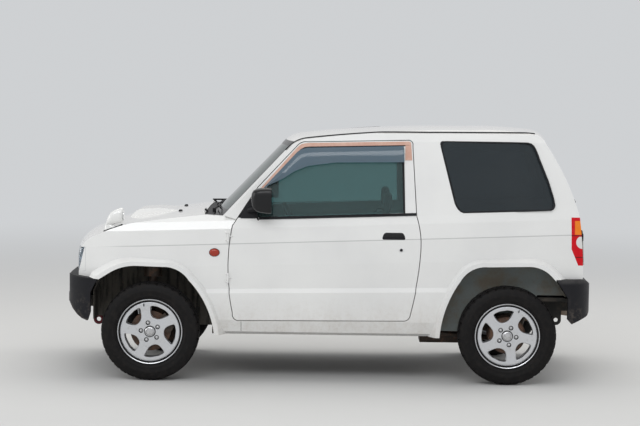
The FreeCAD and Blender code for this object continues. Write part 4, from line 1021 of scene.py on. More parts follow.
# Door mirror: rounded rings from the front to the rear lip, glass set into the lip
mirrorShape = {
    "rings": [
        # place along the car, low and high edge, inner and outer edge
        (-0.497, 1.158, 1.196, 0.757, 0.785), (-0.494, 1.135, 1.214, 0.742, 0.803),
        (-0.484, 1.113, 1.229, 0.728, 0.819), (-0.465, 1.097, 1.239, 0.716, 0.829),
        (-0.435, 1.088, 1.244, 0.708, 0.832), (-0.400, 1.084, 1.2455, 0.704, 0.832),
        (-0.378, 1.083, 1.245, 0.703, 0.832), (-0.371, 1.085, 1.243, 0.705, 0.831),
        (-0.371, 1.090, 1.238, 0.710, 0.826), (-0.380, 1.091, 1.237, 0.711, 0.825),
    ],
    "roundest": 2.6,
    "squarest": 4.5,
    "steps": 48,
    "stem": [(-0.508, 0.674, 1.092), (-0.492, 0.692, 1.100), (-0.462, 0.712, 1.112), (-0.440, 0.735, 1.125)],
    "stemMiddle": (-0.475, 0.70, 1.105),
    "stemRadius": 0.019,
    "stemStretch": (1.15, 1, 0.85),
}


def mirrorForm(side, shape):
    rings = []
    last = len(shape["rings"]) - 1
    for number, (x, low, high, near, wide) in enumerate(shape["rings"]):
        power = shape["roundest"] + (shape["squarest"] - shape["roundest"]) * min(number / (last - 4), 1)
        centre = (x, side * (near + wide) / 2, (low + high) / 2)
        across, upward = (0, (wide - near) / 2, 0), (0, 0, (high - low) / 2)
        rings.append(superRing(centre, across, upward, power, shape["steps"]))
    pane = [point + Vector((0.0015, 0, 0)) for point in rings[-1]]
    return loft(rings), pane


def mirrorStem(side, shape):
    stem = tube([(x, side * y, z) for x, y, z in shape["stem"]], shape["stemRadius"], sides=24)
    x, y, z = shape["stemMiddle"]
    bmesh.ops.scale(stem, verts=stem.verts, vec=shape["stemStretch"],
                    space=Matrix.Translation((-x, -side * y, -z)))
    return stem


# Pull handle: a frame, the flap over it, a key ring below; then the lamp on the wing
handleShape = {
    "frame": [(0.334, 0.921), (0.482, 0.921), (0.480, 0.942), (0.466, 0.966), (0.350, 0.966), (0.336, 0.942)],
    "flap": [(0.343, 0.938), (0.473, 0.938), (0.470, 0.950), (0.460, 0.961), (0.356, 0.961), (0.346, 0.950)],
    "key": (0.456, 0.856),
    "keyRing": [(0.0115, -0.001), (0.0115, 0.003), (0.0095, 0.0042), (0.0085, 0.0030), (0.0085, -0.001)],
    "keyFace": [(0.0, 0.0022), (0.0084, 0.0022), (0.0084, -0.001)],
}
markerShape = {
    "spot": (-0.733, 0.825),
    "dome": [(0.0, 0.013), (0.012, 0.0122), (0.020, 0.0095), (0.0235, 0.005), (0.0245, 0.0)],
    "domeStretch": 1.29,
    "seat": [(0.0245, 0.0), (0.0262, 0.002), (0.0275, -0.001)],
    "seatStretch": 1.27,
}


def ovalBoss(side, spot, profile, stretch=1.0):
    # a boss spun from radius and height, stretched along the car and set on its side
    closed = min(profile[0][0], profile[-1][0]) > 0
    form = spun([(radius, side * along) for radius, along in profile], 40, closed=closed)
    bmesh.ops.holes_fill(form, edges=[edge for edge in form.edges if edge.is_boundary], sides=0)
    bmesh.ops.scale(form, verts=form.verts, vec=(stretch, 1, 1))
    bmesh.ops.translate(form, verts=form.verts, vec=facePoint(side, *spot))
    return form


def ditchForm(side):
    # the moulding along the roof's edge
    points = [roofPoint(x, side * y, 0.0015) for x, y in spread(sideLines["ditch"], 44)]
    return tube(points, 0.0058, sides=8)


def setSides():
    for side, name in bothSides:
        door = f"door_{name}"
        finishPiece(f"frame_tape_{name}", tapeForm(side), door, "paint", tape)
        finishPiece(f"run_channel_{name}", channelForm(side), door, "trim_black")
        finishPiece(f"belt_strip_{name}", beltForm(side), door, "trim_black")
        finishPiece(f"visor_{name}", visorForm(side), door, "glass_dark", smoked)
        finishPiece(f"mirror_sail_{name}", sailForm(side), door, "trim_black", bevel=0.002)
        form, pane = mirrorForm(side, mirrorShape)
        housing = finishPiece(f"mirror_housing_{name}", form, door, "trim_black", glossBlack)
        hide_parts(f"door_{name}_mirror")
        finishPiece(f"mirror_stem_{name}", mirrorStem(side, mirrorShape), door, "trim_black")
        finishPiece(f"mirror_glass_{name}", slab(pane, (0.003, 0, 0)), door, "alloy", chrome)
        form = plate(side, handleShape["frame"], 0.001, 0.004, 0.010)
        finishPiece(f"handle_frame_{name}", form, door, "trim_black", bevel=0.0015)
        form = plate(side, handleShape["flap"], 0.005, 0.013, 0.006)
        finishPiece(f"handle_flap_{name}", form, door, "trim_black", glossBlack, bevel=0.003, steps=3)
        form = ovalBoss(side, handleShape["key"], handleShape["keyRing"])
        finishPiece(f"key_ring_{name}", form, door, "alloy", nutSteel)
        form = ovalBoss(side, handleShape["key"], handleShape["keyFace"])
        finishPiece(f"key_face_{name}", form, door, "trim_black")
        form = ovalBoss(side, markerShape["spot"], markerShape["dome"], markerShape["domeStretch"])
        finishPiece(f"side_marker_{name}", form, "root", "lamp_red", markerRed)
        form = ovalBoss(side, markerShape["spot"], markerShape["seat"], markerShape["seatStretch"])
        finishPiece(f"marker_seat_{name}", form, "root", "trim_black")
        form = sealForm(side, sideLines["quarter"], 0.0005, 0.012, 0.003)
        finishPiece(f"quarter_seal_{name}", form, "root", "trim_black")
        finishPiece(f"roof_ditch_{name}", ditchForm(side), "root", "trim_black")
        form = faceStrip(side, [(row, 0.0008) for row in sideLines["sillSeam"]], 0.001, 12)
        finishPiece(f"sill_seam_{name}", form, "root", "trim_black", wellBlack)


setSides()
print("sides trimmed")


# Skins seen from the front, the rear and above
noseSkin = skinTree("front_bumper", "nose_panel", "headlamps", "bonnet", "windscreen", "cowl_panel",
                    "fender_left", "fender_right", "roof_panel")
tailSkin = skinTree("tailgate_panel", "tailgate_glass", "rear_bumper", "body_side_left", "body_side_right",
                    "roof_panel", "tail_lamps")


def nosePoint(y, z, lift=0.0, way=1):
    tree = noseSkin if way > 0 else tailSkin
    hit = tree.ray_cast(Vector((-3 * way, y, z)), Vector((way, 0, 0)))[0]
    return (hit or Vector((-1.6 * way, y, z))) + Vector((-way * lift, 0, 0))


def topPoint(x, y, lift=0.0):
    hit = noseSkin.ray_cast(Vector((x, y, 2.0)), Vector((0, 0, -1)))[0]
    return (hit or Vector((x, y, 1.0))) + Vector((0, 0, lift))


# Small mirror on the left wing: rings from the foot up, lowest ones on the wing's skin
finShape = {
    "middle": -0.632,
    "foot": [(-1.443, -1.330, 0.022, 0.0005), (-1.441, -1.338, 0.0195, 0.010)],
    "rings": [
        # height, front and rear edge, half width
        (0.982, -1.4385, -1.378, 0.016), (0.989, -1.437, -1.386, 0.014), (0.996, -1.434, -1.362, 0.022),
        (1.004, -1.432, -1.324, 0.030), (1.020, -1.427, -1.319, 0.035), (1.045, -1.417, -1.3185, 0.036),
        (1.066, -1.402, -1.3185, 0.033), (1.083, -1.378, -1.3195, 0.026), (1.094, -1.350, -1.3215, 0.015),
        (1.0975, -1.336, -1.325, 0.006),
    ],
    "gasket": [(0.005, 0.0), (0.005, 0.004), (0.0, 0.006)],
    "pane": (-1.3192, 1.047, 0.029, 0.033),
    "power": 2.8,
    "steps": 40,
}


def finRing(shape, low, high, half, z=1.0):
    centre = ((low + high) / 2, shape["middle"], z)
    return superRing(centre, ((high - low) / 2, 0, 0), (0, half, 0), shape["power"], shape["steps"])


def onWing(ring, lift):
    return [Vector((spot.x, spot.y, topPoint(spot.x, spot.y, lift).z)) for spot in ring]


def finForm(shape):
    rings = [onWing(finRing(shape, low, high, half), lift) for low, high, half, lift in shape["foot"]]
    return loft(rings + [finRing(shape, low, high, half, z) for z, low, high, half in shape["rings"]])


def finGasket(shape):
    low, high, half = shape["foot"][0][:3]
    return loft([onWing(finRing(shape, low - grow, high + grow, half + grow * 0.6), up)
                 for grow, up in shape["gasket"]])


def setFin():
    piece = finishPiece("wing_mirror", finForm(finShape), "root", "paint", sharp=60)
    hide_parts("fender_mirror")
    finishPiece("wing_mirror_gasket", finGasket(finShape), "root", "trim_black")
    x, z, half, high = finShape["pane"]
    pane = superRing((x, finShape["middle"], z), (0, half, 0), (0, 0, high), 2.3, finShape["steps"])
    finishPiece("wing_mirror_glass", slab(pane, (0.0022, 0, 0)), "root", "alloy", chrome)


# Headlamps: the solid's outer faces become the lens, its other faces the bright bowl behind
lampShape = {
    "lensThick": 0.004,
    "cheekThick": 0.006,
    "bowlThick": 0.0015,
    "rearEdge": ((-1.5665, 0.846), (-1.6040, 0.690)),
    "reflector": [(0.0, 0.050), (0.022, 0.046), (0.046, 0.036), (0.062, 0.022), (0.070, 0.006),
                  (0.074, 0.006)],
    "bulb": [(0.0, -0.012), (0.006, -0.010), (0.009, -0.002), (0.009, 0.026), (0.012, 0.030),
             (0.012, 0.048), (0.0, 0.048)],
    "reflectorSpot": (-1.590, 0.480, 0.768),
}


def lampFaces(outer):
    form = bmesh.new()
    form.from_mesh(nodes["headlamps"].data)
    bmesh.ops.remove_doubles(form, verts=form.verts, dist=1e-5)
    other = []
    for face in form.faces:
        side = math.copysign(1, face.calc_center_median().y)
        if (face.normal.x < -0.3 or side * face.normal.y > 0.4) != outer:
            other.append(face)
    bmesh.ops.delete(form, geom=other, context="FACES")
    return form


def halfOf(form, ahead):
    # what stands ahead of or behind the lens's slanting rear edge
    (topX, topZ), (footX, footZ) = lampShape["rearEdge"]
    plane = Vector((topZ - footZ, 0, footX - topX)).normalized()
    bmesh.ops.bisect_plane(form, geom=form.verts[:] + form.edges[:] + form.faces[:], dist=1e-5,
                           plane_co=(topX, 0, topZ), plane_no=plane if ahead else -plane, clear_outer=True)
    return form


def thickened(form, thick):
    bmesh.ops.solidify(form, geom=form.faces[:], thickness=thick)
    return form


def setLampPair():
    lens = thickened(halfOf(lampFaces(True), True), lampShape["lensThick"])
    piece = finishPiece("lamp_lens", lens, "root", "lamp_clear", sharp=30)
    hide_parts("headlamps")
    cheek = thickened(halfOf(lampFaces(True), False), lampShape["cheekThick"])
    finishPiece("lamp_cheeks", cheek, "root", "paint", sharp=30)
    bowl = thickened(lampFaces(False), lampShape["bowlThick"])
    finishPiece("lamp_bowl", bowl, "root", "alloy", lampSilver, sharp=30)
    dishes = []
    x, y, z = lampShape["reflectorSpot"]
    for side in (-1, 1):
        # spun forms lie along Y; the nose needs them along X
        dish = thickened(spun(lampShape["reflector"], 56, closed=False), lampShape["bowlThick"])
        dishes.append(turned(dish, -90, "Z", (x, side * y, z)))
        bulb = spun(lampShape["bulb"], 24, closed=False)
        dishes.append(turned(bulb, -90, "Z", (x, side * y, z)))
    finishPiece("lamp_reflectors", merged(*dishes), "root", "alloy", chrome, sharp=50)


# Grille's backing, plates, bumper blanks, hook ring, washers
frontTrim = {
    # place along the car, half width, low and high edge
    "backing": (-1.575, 0.325, 0.716, 0.838),
    "finStep": 0.010,
    "plate": (0.330, 0.165),
    # how far out and how far in from the rim
    "plateRoll": [(-0.003, 0.0), (0.0005, 0.0), (0.0012, 0.0035), (0.0, 0.007)],
    "holder": (0.13, 0.07, 0.022),
    "frontPlate": (-1.6955, 0.0, 0.500),
    "tailPlate": (-0.270, 0.832),
    # middle across and up, half axes; then share of them and lift off the bumper
    "blank": (0.520, 0.520, 0.0702, 0.03744),
    "blankRings": [(1.0, -0.004), (1.0, 0.001), (0.93, 0.0025), (0.88, 0.0005), (0.80, 0.0005)],
    "hookSpot": (-1.510, -0.336, 0.343),
    # radius of the ring and of its bar, sides of the bar
    "hookRing": (0.0238, 0.0094, 20),
    "washers": [(-0.985, -0.250), (-0.985, 0.250)],
    # how far along and up, then both half axes
    "jet": [(0.0, -0.002, 0.014, 0.009), (0.0, 0.004, 0.013, 0.008), (0.002, 0.010, 0.008, 0.006)],
}


def backingForm(shape):
    x, half, low, high = shape["backing"]
    form = slab(upright(x, -half, half, low, high), (0.012, 0, 0))
    for number in range(int((high - low) / shape["finStep"])):
        z = low + shape["finStep"] * (number + 0.5)
        slab(upright(x - 0.004, -half, half, z - 0.002, z + 0.002), (0.005, 0, 0), form=form)
    return form


def plateForm(spot, lean, way):
    # a blank plate with a rolled edge, facing the nose (way -1) or the tail (way 1)
    wide, high = (size / 2 for size in frontTrim["plate"])
    rows = [(way * lift, wide - edge, high - edge) for lift, edge in frontTrim["plateRoll"]]
    return turned(stacked((0, 0, 0), "X", rows, 22, 64), lean, "Y", spot)


def blankForm(side):
    # an oval blind cover where a fog lamp could go
    y, z, half, high = frontTrim["blank"]
    rings = []
    for share, lift in frontTrim["blankRings"]:
        ring = superRing((0, side * y, z), (0, half * share, 0), (0, 0, high * share), 3.2, 48)
        rings.append([nosePoint(spot.y, spot.z, lift) for spot in ring])
    return loft(rings)


def washerForm(x, y):
    spot = topPoint(x, y)
    return loft([superRing(spot + Vector((along, 0, lift)), (long, 0, 0), (0, wide, 0), 2.4, 24)
                 for along, lift, long, wide in frontTrim["jet"]])


def setFront():
    setFin()
    setLampPair()
    finishPiece("grille_backing", backingForm(frontTrim), "root", "engine", wellBlack)
    x, y, z = frontTrim["frontPlate"]
    finishPiece("plate_front", plateForm((x, y, z), 0, -1), "root", "paint", plateWhite, sharp=30)
    half, high, deep = frontTrim["holder"]
    holder = slab(upright(x + 0.003, -half, half, z - high, z + high), (deep, 0, 0), 0.010)
    finishPiece("plate_holder", holder, "root", "trim_black", bevel=0.002)
    finishPiece("fog_blanks", merged(blankForm(-1), blankForm(1)), "root", "trim_black")
    radius, thick, steps = frontTrim["hookRing"]
    angles = [math.tau * step / steps for step in range(steps)]
    ring = [(radius + thick * math.cos(angle), thick * math.sin(angle)) for angle in angles]
    finishPiece("hook_ring", spun(ring, 56, frontTrim["hookSpot"]), "root", "lamp_red", hookRed)
    washers = merged(*[washerForm(*spot) for spot in frontTrim["washers"]])
    finishPiece("washer_jets", washers, "bonnet", "trim_black")


# Wipers: blade on the glass, arm over it, cap on the spindle
wiperShape = {
    # spindle, blade's left and right end, all across the car
    "pivots": [(-0.420, -0.355, 0.030), (0.060, 0.125, 0.510)],
    "bladeHeight": 1.079,
    "footX": -0.752,
    "footZ": 1.058,
    "cap": [(0.0, 0.012, 0.012), (0.028, 0.012, 0.012), (0.033, 0.007, 0.007)],
    "armFoot": [(0, 0, 0.027), (0.006, 0.06, 0.030)],
    "armRadius": 0.0048,
    "bladeRadius": 0.0042,
    "rubberRadius": 0.0028,
    "rubberSpot": (0.0035, 0, -0.0035),
    "bladeSteps": 14,
    "bladeSag": 0.004,
}


def screenPoint(y, z, lift):
    return nosePoint(y, z) + Vector((-0.72, 0, 0.69)) * lift


def wiperForm(pivot, start, end):
    z, count = wiperShape["bladeHeight"], wiperShape["bladeSteps"]
    foot = Vector((wiperShape["footX"], pivot, wiperShape["footZ"]))
    middle = (start + end) / 2
    arm = [foot + Vector(way) for way in wiperShape["armFoot"]]
    arm += [screenPoint(pivot + (middle - pivot) * 0.6, z + 0.003, 0.018),
            screenPoint(middle, z + 0.002, 0.013)]
    spots = []
    for step in range(count + 1):
        sag = wiperShape["bladeSag"] * math.sin(math.pi * step / count)
        spots.append(screenPoint(start + (end - start) * step / count, z + sag, 0.010))
    rubber = [spot + Vector(wiperShape["rubberSpot"]) for spot in spots]
    return merged(stacked(foot, "Z", wiperShape["cap"], 2, 24),
                  tube(arm, wiperShape["armRadius"], sides=8),
                  tube(spots, wiperShape["bladeRadius"], sides=8),
                  tube(rubber, wiperShape["rubberRadius"], sides=6))


def setWipers():
    arms = merged(*[wiperForm(*row) for row in wiperShape["pivots"]])
    piece = finishPiece("wiper_arms", arms, "root", "trim_black")
    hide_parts("wipers")


# Tail: rear wiper, handle, stop lamp, blank plate
tailShape = {
    "wiperFoot": (0.020, 1.078),
    "wiperHead": (-0.120, 1.190),
    "wiperCap": [(-0.004, 0.020, 0.016), (0.008, 0.018, 0.014), (0.012, 0.012, 0.009)],
    "bladeEnds": ((-0.300, 1.150), (0.060, 1.232)),
    "bladeSteps": 10,
    # middle across and up, half axes
    "handle": (-0.505, 0.925, 0.042, 0.058),
    "handleRings": [(1.0, -0.006), (1.0, 0.003), (0.90, 0.005), (0.84, -0.001), (0.78, -0.003)],
    # out and up from the handle's middle, shares of its half axes, thickness
    "lever": (0.004, 0.012, 0.66, 0.42, 0.007),
    # half width, height, half height
    "stop": (0.115, 1.4980, 0.013),
    "stopRings": [(-0.010, 0.0, 0.0), (0.002, 0.0, 0.0), (0.005, 0.006, 0.005)],
}


def tailPoint(y, z, lift=0.0):
    return nosePoint(y, z, lift, -1)


def tailWiper(shape):
    footY, footZ = shape["wiperFoot"]
    foot = tailPoint(footY, footZ)
    arm = [foot + Vector((0.010, 0, 0)), tailPoint(footY - 0.03, footZ + 0.03, 0.022),
           tailPoint(*shape["wiperHead"], 0.016)]
    start, end = (Vector(point) for point in shape["bladeEnds"])
    spots = []
    for step in range(shape["bladeSteps"] + 1):
        spots.append(tailPoint(*start.lerp(end, step / shape["bladeSteps"]), 0.009))
    return merged(stacked(foot, "X", shape["wiperCap"], 2.6, 24), tube(arm, 0.0048, sides=8),
                  tube(spots, 0.005, sides=8))


def tailHandle(shape):
    y, z, halfY, halfZ = shape["handle"]
    spot = tailPoint(y, z)
    rows = [(lift, halfY * share, halfZ * share) for share, lift in shape["handleRings"]]
    along, up, shareY, shareZ, thick = shape["lever"]
    lever = superRing(spot + Vector((along, 0, up)), (0, halfY * shareY, 0), (0, 0, halfZ * shareZ), 4, 40)
    return slab(lever, (thick, 0, 0), form=stacked(spot, "X", rows, 5, 48))


def stopLamp(shape):
    half, z, high = shape["stop"]
    rows = [(lift, half - less, high - lower) for lift, less, lower in shape["stopRings"]]
    return stacked(tailPoint(0, z), "X", rows, 6, 48)


def setTail():
    finishPiece("tail_wiper", tailWiper(tailShape), "tailgate", "trim_black")
    finishPiece("tail_handle", tailHandle(tailShape), "tailgate", "trim_black")
    finishPiece("stop_lamp", stopLamp(tailShape), "tailgate", "lamp_red", markerRed)
    y, z = frontTrim["tailPlate"]
    high = frontTrim["plate"][1] / 2
    top, foot = tailPoint(y, z + high), tailPoint(y, z - high)
    lean = -math.degrees(math.atan2(foot.x - top.x, 2 * high))
    spot = (top + foot) / 2 + Vector((0.007, 0, 0))
    finishPiece("plate_tail", plateForm(spot, lean, 1), "tailgate", "paint", plateWhite, sharp=30)


# Bumpers: the solids carved along the bottom and rounded at their edges
bumperShape = {
    "front_bumper": [
        [(-1.720, 0.560), (-1.6880, 0.560), (-1.6780, 0.520), (-1.6620, 0.485), (-1.6380, 0.450),
         (-1.6060, 0.418), (-1.5760, 0.396), (-1.5440, 0.384), (-1.5000, 0.366), (-1.5000, 0.300),
         (-1.720, 0.300)],
    ],
    "rear_bumper": [
        [(1.720, 0.560), (1.6930, 0.560), (1.6880, 0.520), (1.6750, 0.480), (1.6560, 0.448),
         (1.6280, 0.420), (1.5900, 0.404), (1.5600, 0.398), (1.5600, 0.300), (1.720, 0.300)],
        [(1.560, 0.700), (1.560, 0.690), (1.590, 0.683), (1.632, 0.676), (1.655, 0.662), (1.678, 0.640),
         (1.720, 0.620), (1.720, 0.700)],
    ],
}
bumperRounding = 0.006


def carvedForm(name, outlines):
    form = bmesh.new()
    form.from_mesh(nodes[name].data)
    bmesh.ops.remove_doubles(form, verts=form.verts, dist=1e-5)
    bmesh.ops.dissolve_limit(form, angle_limit=math.radians(1.5), verts=form.verts, edges=form.edges)
    cutter = bmesh.new()
    for outline in outlines:
        slab([(x, -0.9, z) for x, z in outline], (0, 1.8, 0), form=cutter)
    return cutAway(form, cutter, selfCrossing=True)


def setBumpers():
    for name, outlines in bumperShape.items():
        piece = finishPiece(f"{name}_cover", carvedForm(name, outlines), "root", "bumper_black",
                            bevel=bumperRounding, steps=3, sharp=25)
        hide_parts(name)


setFront()
setBumpers()
setWipers()
setTail()
print("nose and tail trimmed")


# Seats, door cards, dashboard fittings, levers, inner mirror
def roundLoop(points, steps):
    # a closed smooth line through points of X and Z
    ring, count = [], len(points)
    for k in range(count):
        a, b, c, d = (Vector(points[(k + step) % count]) for step in (-1, 0, 1, 2))
        for step in range(steps):
            t = step / steps
            ring.append(0.5 * (2 * b + (c - a) * t + (2 * a - 5 * b + 4 * c - d) * t ** 2
                               + (3 * b - a - 3 * c + d) * t ** 3))
    return ring


padShape = {
    "steps": 6,
    "stations": 44,
    "edge": 0.028,
    "nearest": 0.0004,
    "crown": 0.010,
    "seamDepth": 0.0075,
    "seamWidth": 0.011,
    "piping": 0.0032,
    "pipingInset": 0.0072,
}

# Half width, seams across, and the side view in X and Z
pads = {
    "cushion": {"half": 0.232, "seams": (-0.13, 0.13),
                "loop": [(-0.203, 0.605), (-0.180, 0.550), (0.020, 0.542), (0.235, 0.548), (0.258, 0.600),
                         (0.205, 0.640), (0.000, 0.660), (-0.165, 0.682)]},
    "back": {"half": 0.228, "seams": (-0.12, 0.12),
             "loop": [(0.212, 0.665), (0.235, 0.618), (0.280, 0.640), (0.330, 0.820), (0.380, 1.000),
                      (0.366, 1.032), (0.322, 1.030), (0.288, 0.975), (0.248, 0.820)]},
    "headrest": {"half": 0.120, "seams": (),
                 "loop": [(0.346, 1.150), (0.348, 1.090), (0.372, 1.066), (0.396, 1.090), (0.404, 1.150),
                          (0.400, 1.186), (0.376, 1.198), (0.352, 1.186)]},
    "bench": {"half": 0.512, "seams": (-0.34, -0.17, 0.0, 0.17, 0.34),
              "loop": [(0.628, 0.650), (0.650, 0.580), (0.850, 0.556), (1.005, 0.562), (1.030, 0.640),
                       (0.990, 0.700), (0.820, 0.722), (0.655, 0.732)]},
    "benchBack": {"half": 0.254, "seams": (-0.09, 0.09),
                  "loop": [(1.004, 0.735), (1.018, 0.665), (1.050, 0.640), (1.100, 0.800), (1.160, 1.000),
                           (1.152, 1.034), (1.106, 1.036), (1.080, 0.980), (1.040, 0.850)]},
}


def padRing(ring, y, inset):
    # the line moved in by an amount, set at one place across the seat
    out, count = [], len(ring)
    for k in range(count):
        along = (ring[(k + 1) % count] - ring[k - 1]).normalized()
        spot = ring[k] + Vector((-along.y, along.x)) * inset
        out.append(Vector((spot.x, y, spot.y)))
    return out


def padLoop(shape):
    # the pad's side view as a smooth line, and the sign that leads inwards
    loop = roundLoop(shape["loop"], padShape["steps"])
    area = sum(loop[k - 1].x * loop[k].y - loop[k].x * loop[k - 1].y for k in range(len(loop)))
    return loop, 1 if area > 0 else -1


def padForm(shape, centre):
    loop, way = padLoop(shape)
    half, edge, count = shape["half"], padShape["edge"], padShape["stations"]
    depth, width = padShape["seamDepth"], padShape["seamWidth"]
    places = [half * math.sin(math.pi / 2 * (2 * k / count - 1)) for k in range(count + 1)]
    for seam in shape["seams"]:
        places += [seam + width * step for step in (-1.2, -0.5, 0.0, 0.5, 1.2)]
    rings = []
    for y in sorted(places):
        if rings and y - rings[-1][0].y + centre < padShape["nearest"]:
            continue
        beyond = max(0.0, (abs(y) - half + edge) / edge)
        inset = edge * (1 - math.sqrt(max(0.0, 1 - beyond ** 2))) * 0.8 + padShape["crown"] * (y / half) ** 2
        for seam in shape["seams"]:
            inset += depth * math.exp(-((y - seam) / (width * 0.6)) ** 2)
        rings.append(padRing(loop, centre + y, way * inset))
    return loft(rings)


def pipingForm(shape, centre):
    loop, way = padLoop(shape)
    forms = []
    for side in (-1, 1):
        y = centre + side * (shape["half"] - padShape["edge"] * 0.55)
        ring = padRing(loop, y, way * padShape["pipingInset"])
        forms.append(tube(ring + ring[:1], padShape["piping"], sides=6))
    return merged(*forms)


def setPad(name, key, centre):
    piece = finishPiece(name, padForm(pads[key], centre), "root", "seat_cloth", sharp=70)
    finishPiece(f"{name}_piping", pipingForm(pads[key], centre), "root", "trim_black")


cabin = {
    "seatY": 0.33,
    "railY": 0.19,
    "rodY": 0.055,
    "benchBackY": 0.258,
    "floor": 0.377,
    "loadFloor": 0.546,
    "cardFace": 0.6035,
    # boxes by front and rear, half width, and height
    "pan": ((-0.150, 0.235), 0.200, (0.401, 0.560)),
    "rail": ((-0.175, 0.262), 0.016, 0.402),
    "benchBox": ((0.690, 1.000), 0.470, 0.580),
    "benchPanel": [(1.036, 0.546), (1.050, 0.546), (1.172, 1.000), (1.160, 1.000)],
    "benchHalf": 0.500,
    "tunnelBox": ((-0.020, 0.080), 0.030, 0.404),
    "rod": ((0.360, 1.000), (0.376, 1.090), 0.006),
    "bracketY": 0.2335,
    "bracket": [(0.180, 0.520), (0.262, 0.560), (0.275, 0.640), (0.215, 0.650), (0.160, 0.600)],
}


def seatFrameForm(y):
    (front, rear), half, (low, high) = cabin["pan"]
    forms = [boxForm((front, y - half, low), (rear, y + half, high), 0.02)]
    (front, rear), half, high = cabin["rail"]
    (footX, footZ), (headX, headZ), radius = cabin["rod"]
    for side in (-1, 1):
        middle = y + side * cabin["railY"]
        forms.append(boxForm((front, middle - half, cabin["floor"]), (rear, middle + half, high)))
    for side in (-1, 1):
        middle = y + side * cabin["rodY"]
        forms.append(tube([(footX, middle, footZ), (headX, middle, headZ)], radius, False, 12))
    side = 1 if y > 0 else -1
    bracket = [(x, y + side * cabin["bracketY"], z) for x, z in cabin["bracket"]]
    return merged(*forms, slab(bracket, (0, side * 0.006, 0), 0.012))


def setSeats():
    for side, name in bothSides:
        y = side * cabin["seatY"]
        setPad(f"seat_cushion_{name}", "cushion", y)
        setPad(f"seat_back_{name}", "back", y)
        setPad(f"seat_headrest_{name}", "headrest", y)
        setPad(f"bench_back_{name}", "benchBack", side * cabin["benchBackY"])
    setPad("bench_cushion", "bench", 0.0)
    frames = merged(seatFrameForm(-cabin["seatY"]), seatFrameForm(cabin["seatY"]))
    frames = finishPiece("seat_frames", frames, "root", "trim_black", bevel=0.003)
    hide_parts("front_seats")
    (front, rear), half, high = cabin["benchBox"]
    box = boxForm((front, -half, cabin["loadFloor"]), (rear, half, high), 0.02)
    half = cabin["benchHalf"]
    form = merged(box, slab([(x, -half, z) for x, z in cabin["benchPanel"]], (0, 2 * half, 0)))
    base = finishPiece("bench_base", form, "root", "trim_black", bevel=0.002)
    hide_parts("rear_seat")


# Door cards, drawn on the left door's inner face and mirrored to the right
cardShape = {
    "outline": [(-0.540, 0.400), (0.230, 0.400), (0.270, 0.470), (0.285, 0.840), (-0.560, 0.850),
                (-0.575, 0.560)],
    "panel": [(-0.430, 0.560), (0.150, 0.560), (0.180, 0.790), (-0.460, 0.800)],
    "rest": [(-0.400, 0.700), (-0.385, 0.745), (0.020, 0.745), (0.060, 0.715), (0.020, 0.702)],
    "speaker": (-0.440, 0.480, 0.062),
    "winder": (-0.180, 0.640),
    "winderReach": (0.085, -0.030),
    "winderDisc": [(0.0, 0.004), (0.026, 0.004), (0.026, 0.018), (0.018, 0.024), (0.0, 0.024)],
    "knob": [(0.0, 0.020), (0.010, 0.020), (0.012, 0.034), (0.008, 0.042), (0.0, 0.042)],
    # round the middle of the opener
    "opener": (-0.400, 0.785),
    "bezel": [(-0.045, -0.022), (0.045, -0.022), (0.045, 0.022), (-0.045, 0.022)],
    "lever": [(-0.030, -0.010), (0.034, -0.010), (0.034, 0.010), (-0.030, 0.012)],
}


def mirroredTo(side, form):
    if side > 0:
        bmesh.ops.scale(form, verts=form.verts, vec=(1, -1, 1))
    return form


def onDoor(points, lift, centre=(0, 0)):
    return [(centre[0] + x, lift - cabin["cardFace"], centre[1] + z) for x, z in points]


def cardForms(side):
    face = -cabin["cardFace"]
    card = slab(onDoor(cardShape["outline"], 0.0), (0, 0.007, 0), 0.03)
    rest = slab(onDoor(cardShape["rest"], 0.006), (0, 0.024, 0), 0.012)
    x, z, radius = cardShape["speaker"]
    grille = [(0.0, 0.005), (radius, 0.005), (radius, 0.008), (radius - 0.006, 0.012), (0.0, 0.012)]
    card = merged(card, rest, spun(grille, 48, (x, face, z), closed=False))
    panel = slab(onDoor(cardShape["panel"], 0.006), (0, 0.005, 0), 0.035)
    x, z = cardShape["winder"]
    endX, endZ = x + cardShape["winderReach"][0], z + cardShape["winderReach"][1]
    opener = cardShape["opener"]
    fixed = merged(spun(cardShape["winderDisc"], 32, (x, face, z), closed=False),
                   spun(cardShape["knob"], 24, (endX, face, endZ), closed=False),
                   tube([(x, face + 0.020, z), (endX, face + 0.022, endZ)], 0.0065, False, 12),
                   slab(onDoor(cardShape["bezel"], 0.005, opener), (0, 0.006, 0), 0.012),
                   slab(onDoor(cardShape["lever"], 0.010, opener), (0, 0.008, 0), 0.006))
    return [mirroredTo(side, each) for each in (card, panel, fixed)]


def setCards():
    for side, name in bothSides:
        card, panel, fixed = cardForms(side)
        body = f"door_{name}"
        finishPiece(f"door_card_{name}", card, body, "dash_grey", bevel=0.003)
        finishPiece(f"door_card_cloth_{name}", panel, body, "seat_cloth", bevel=0.002)
        finishPiece(f"door_fittings_{name}", fixed, body, "trim_black", bevel=0.0012)


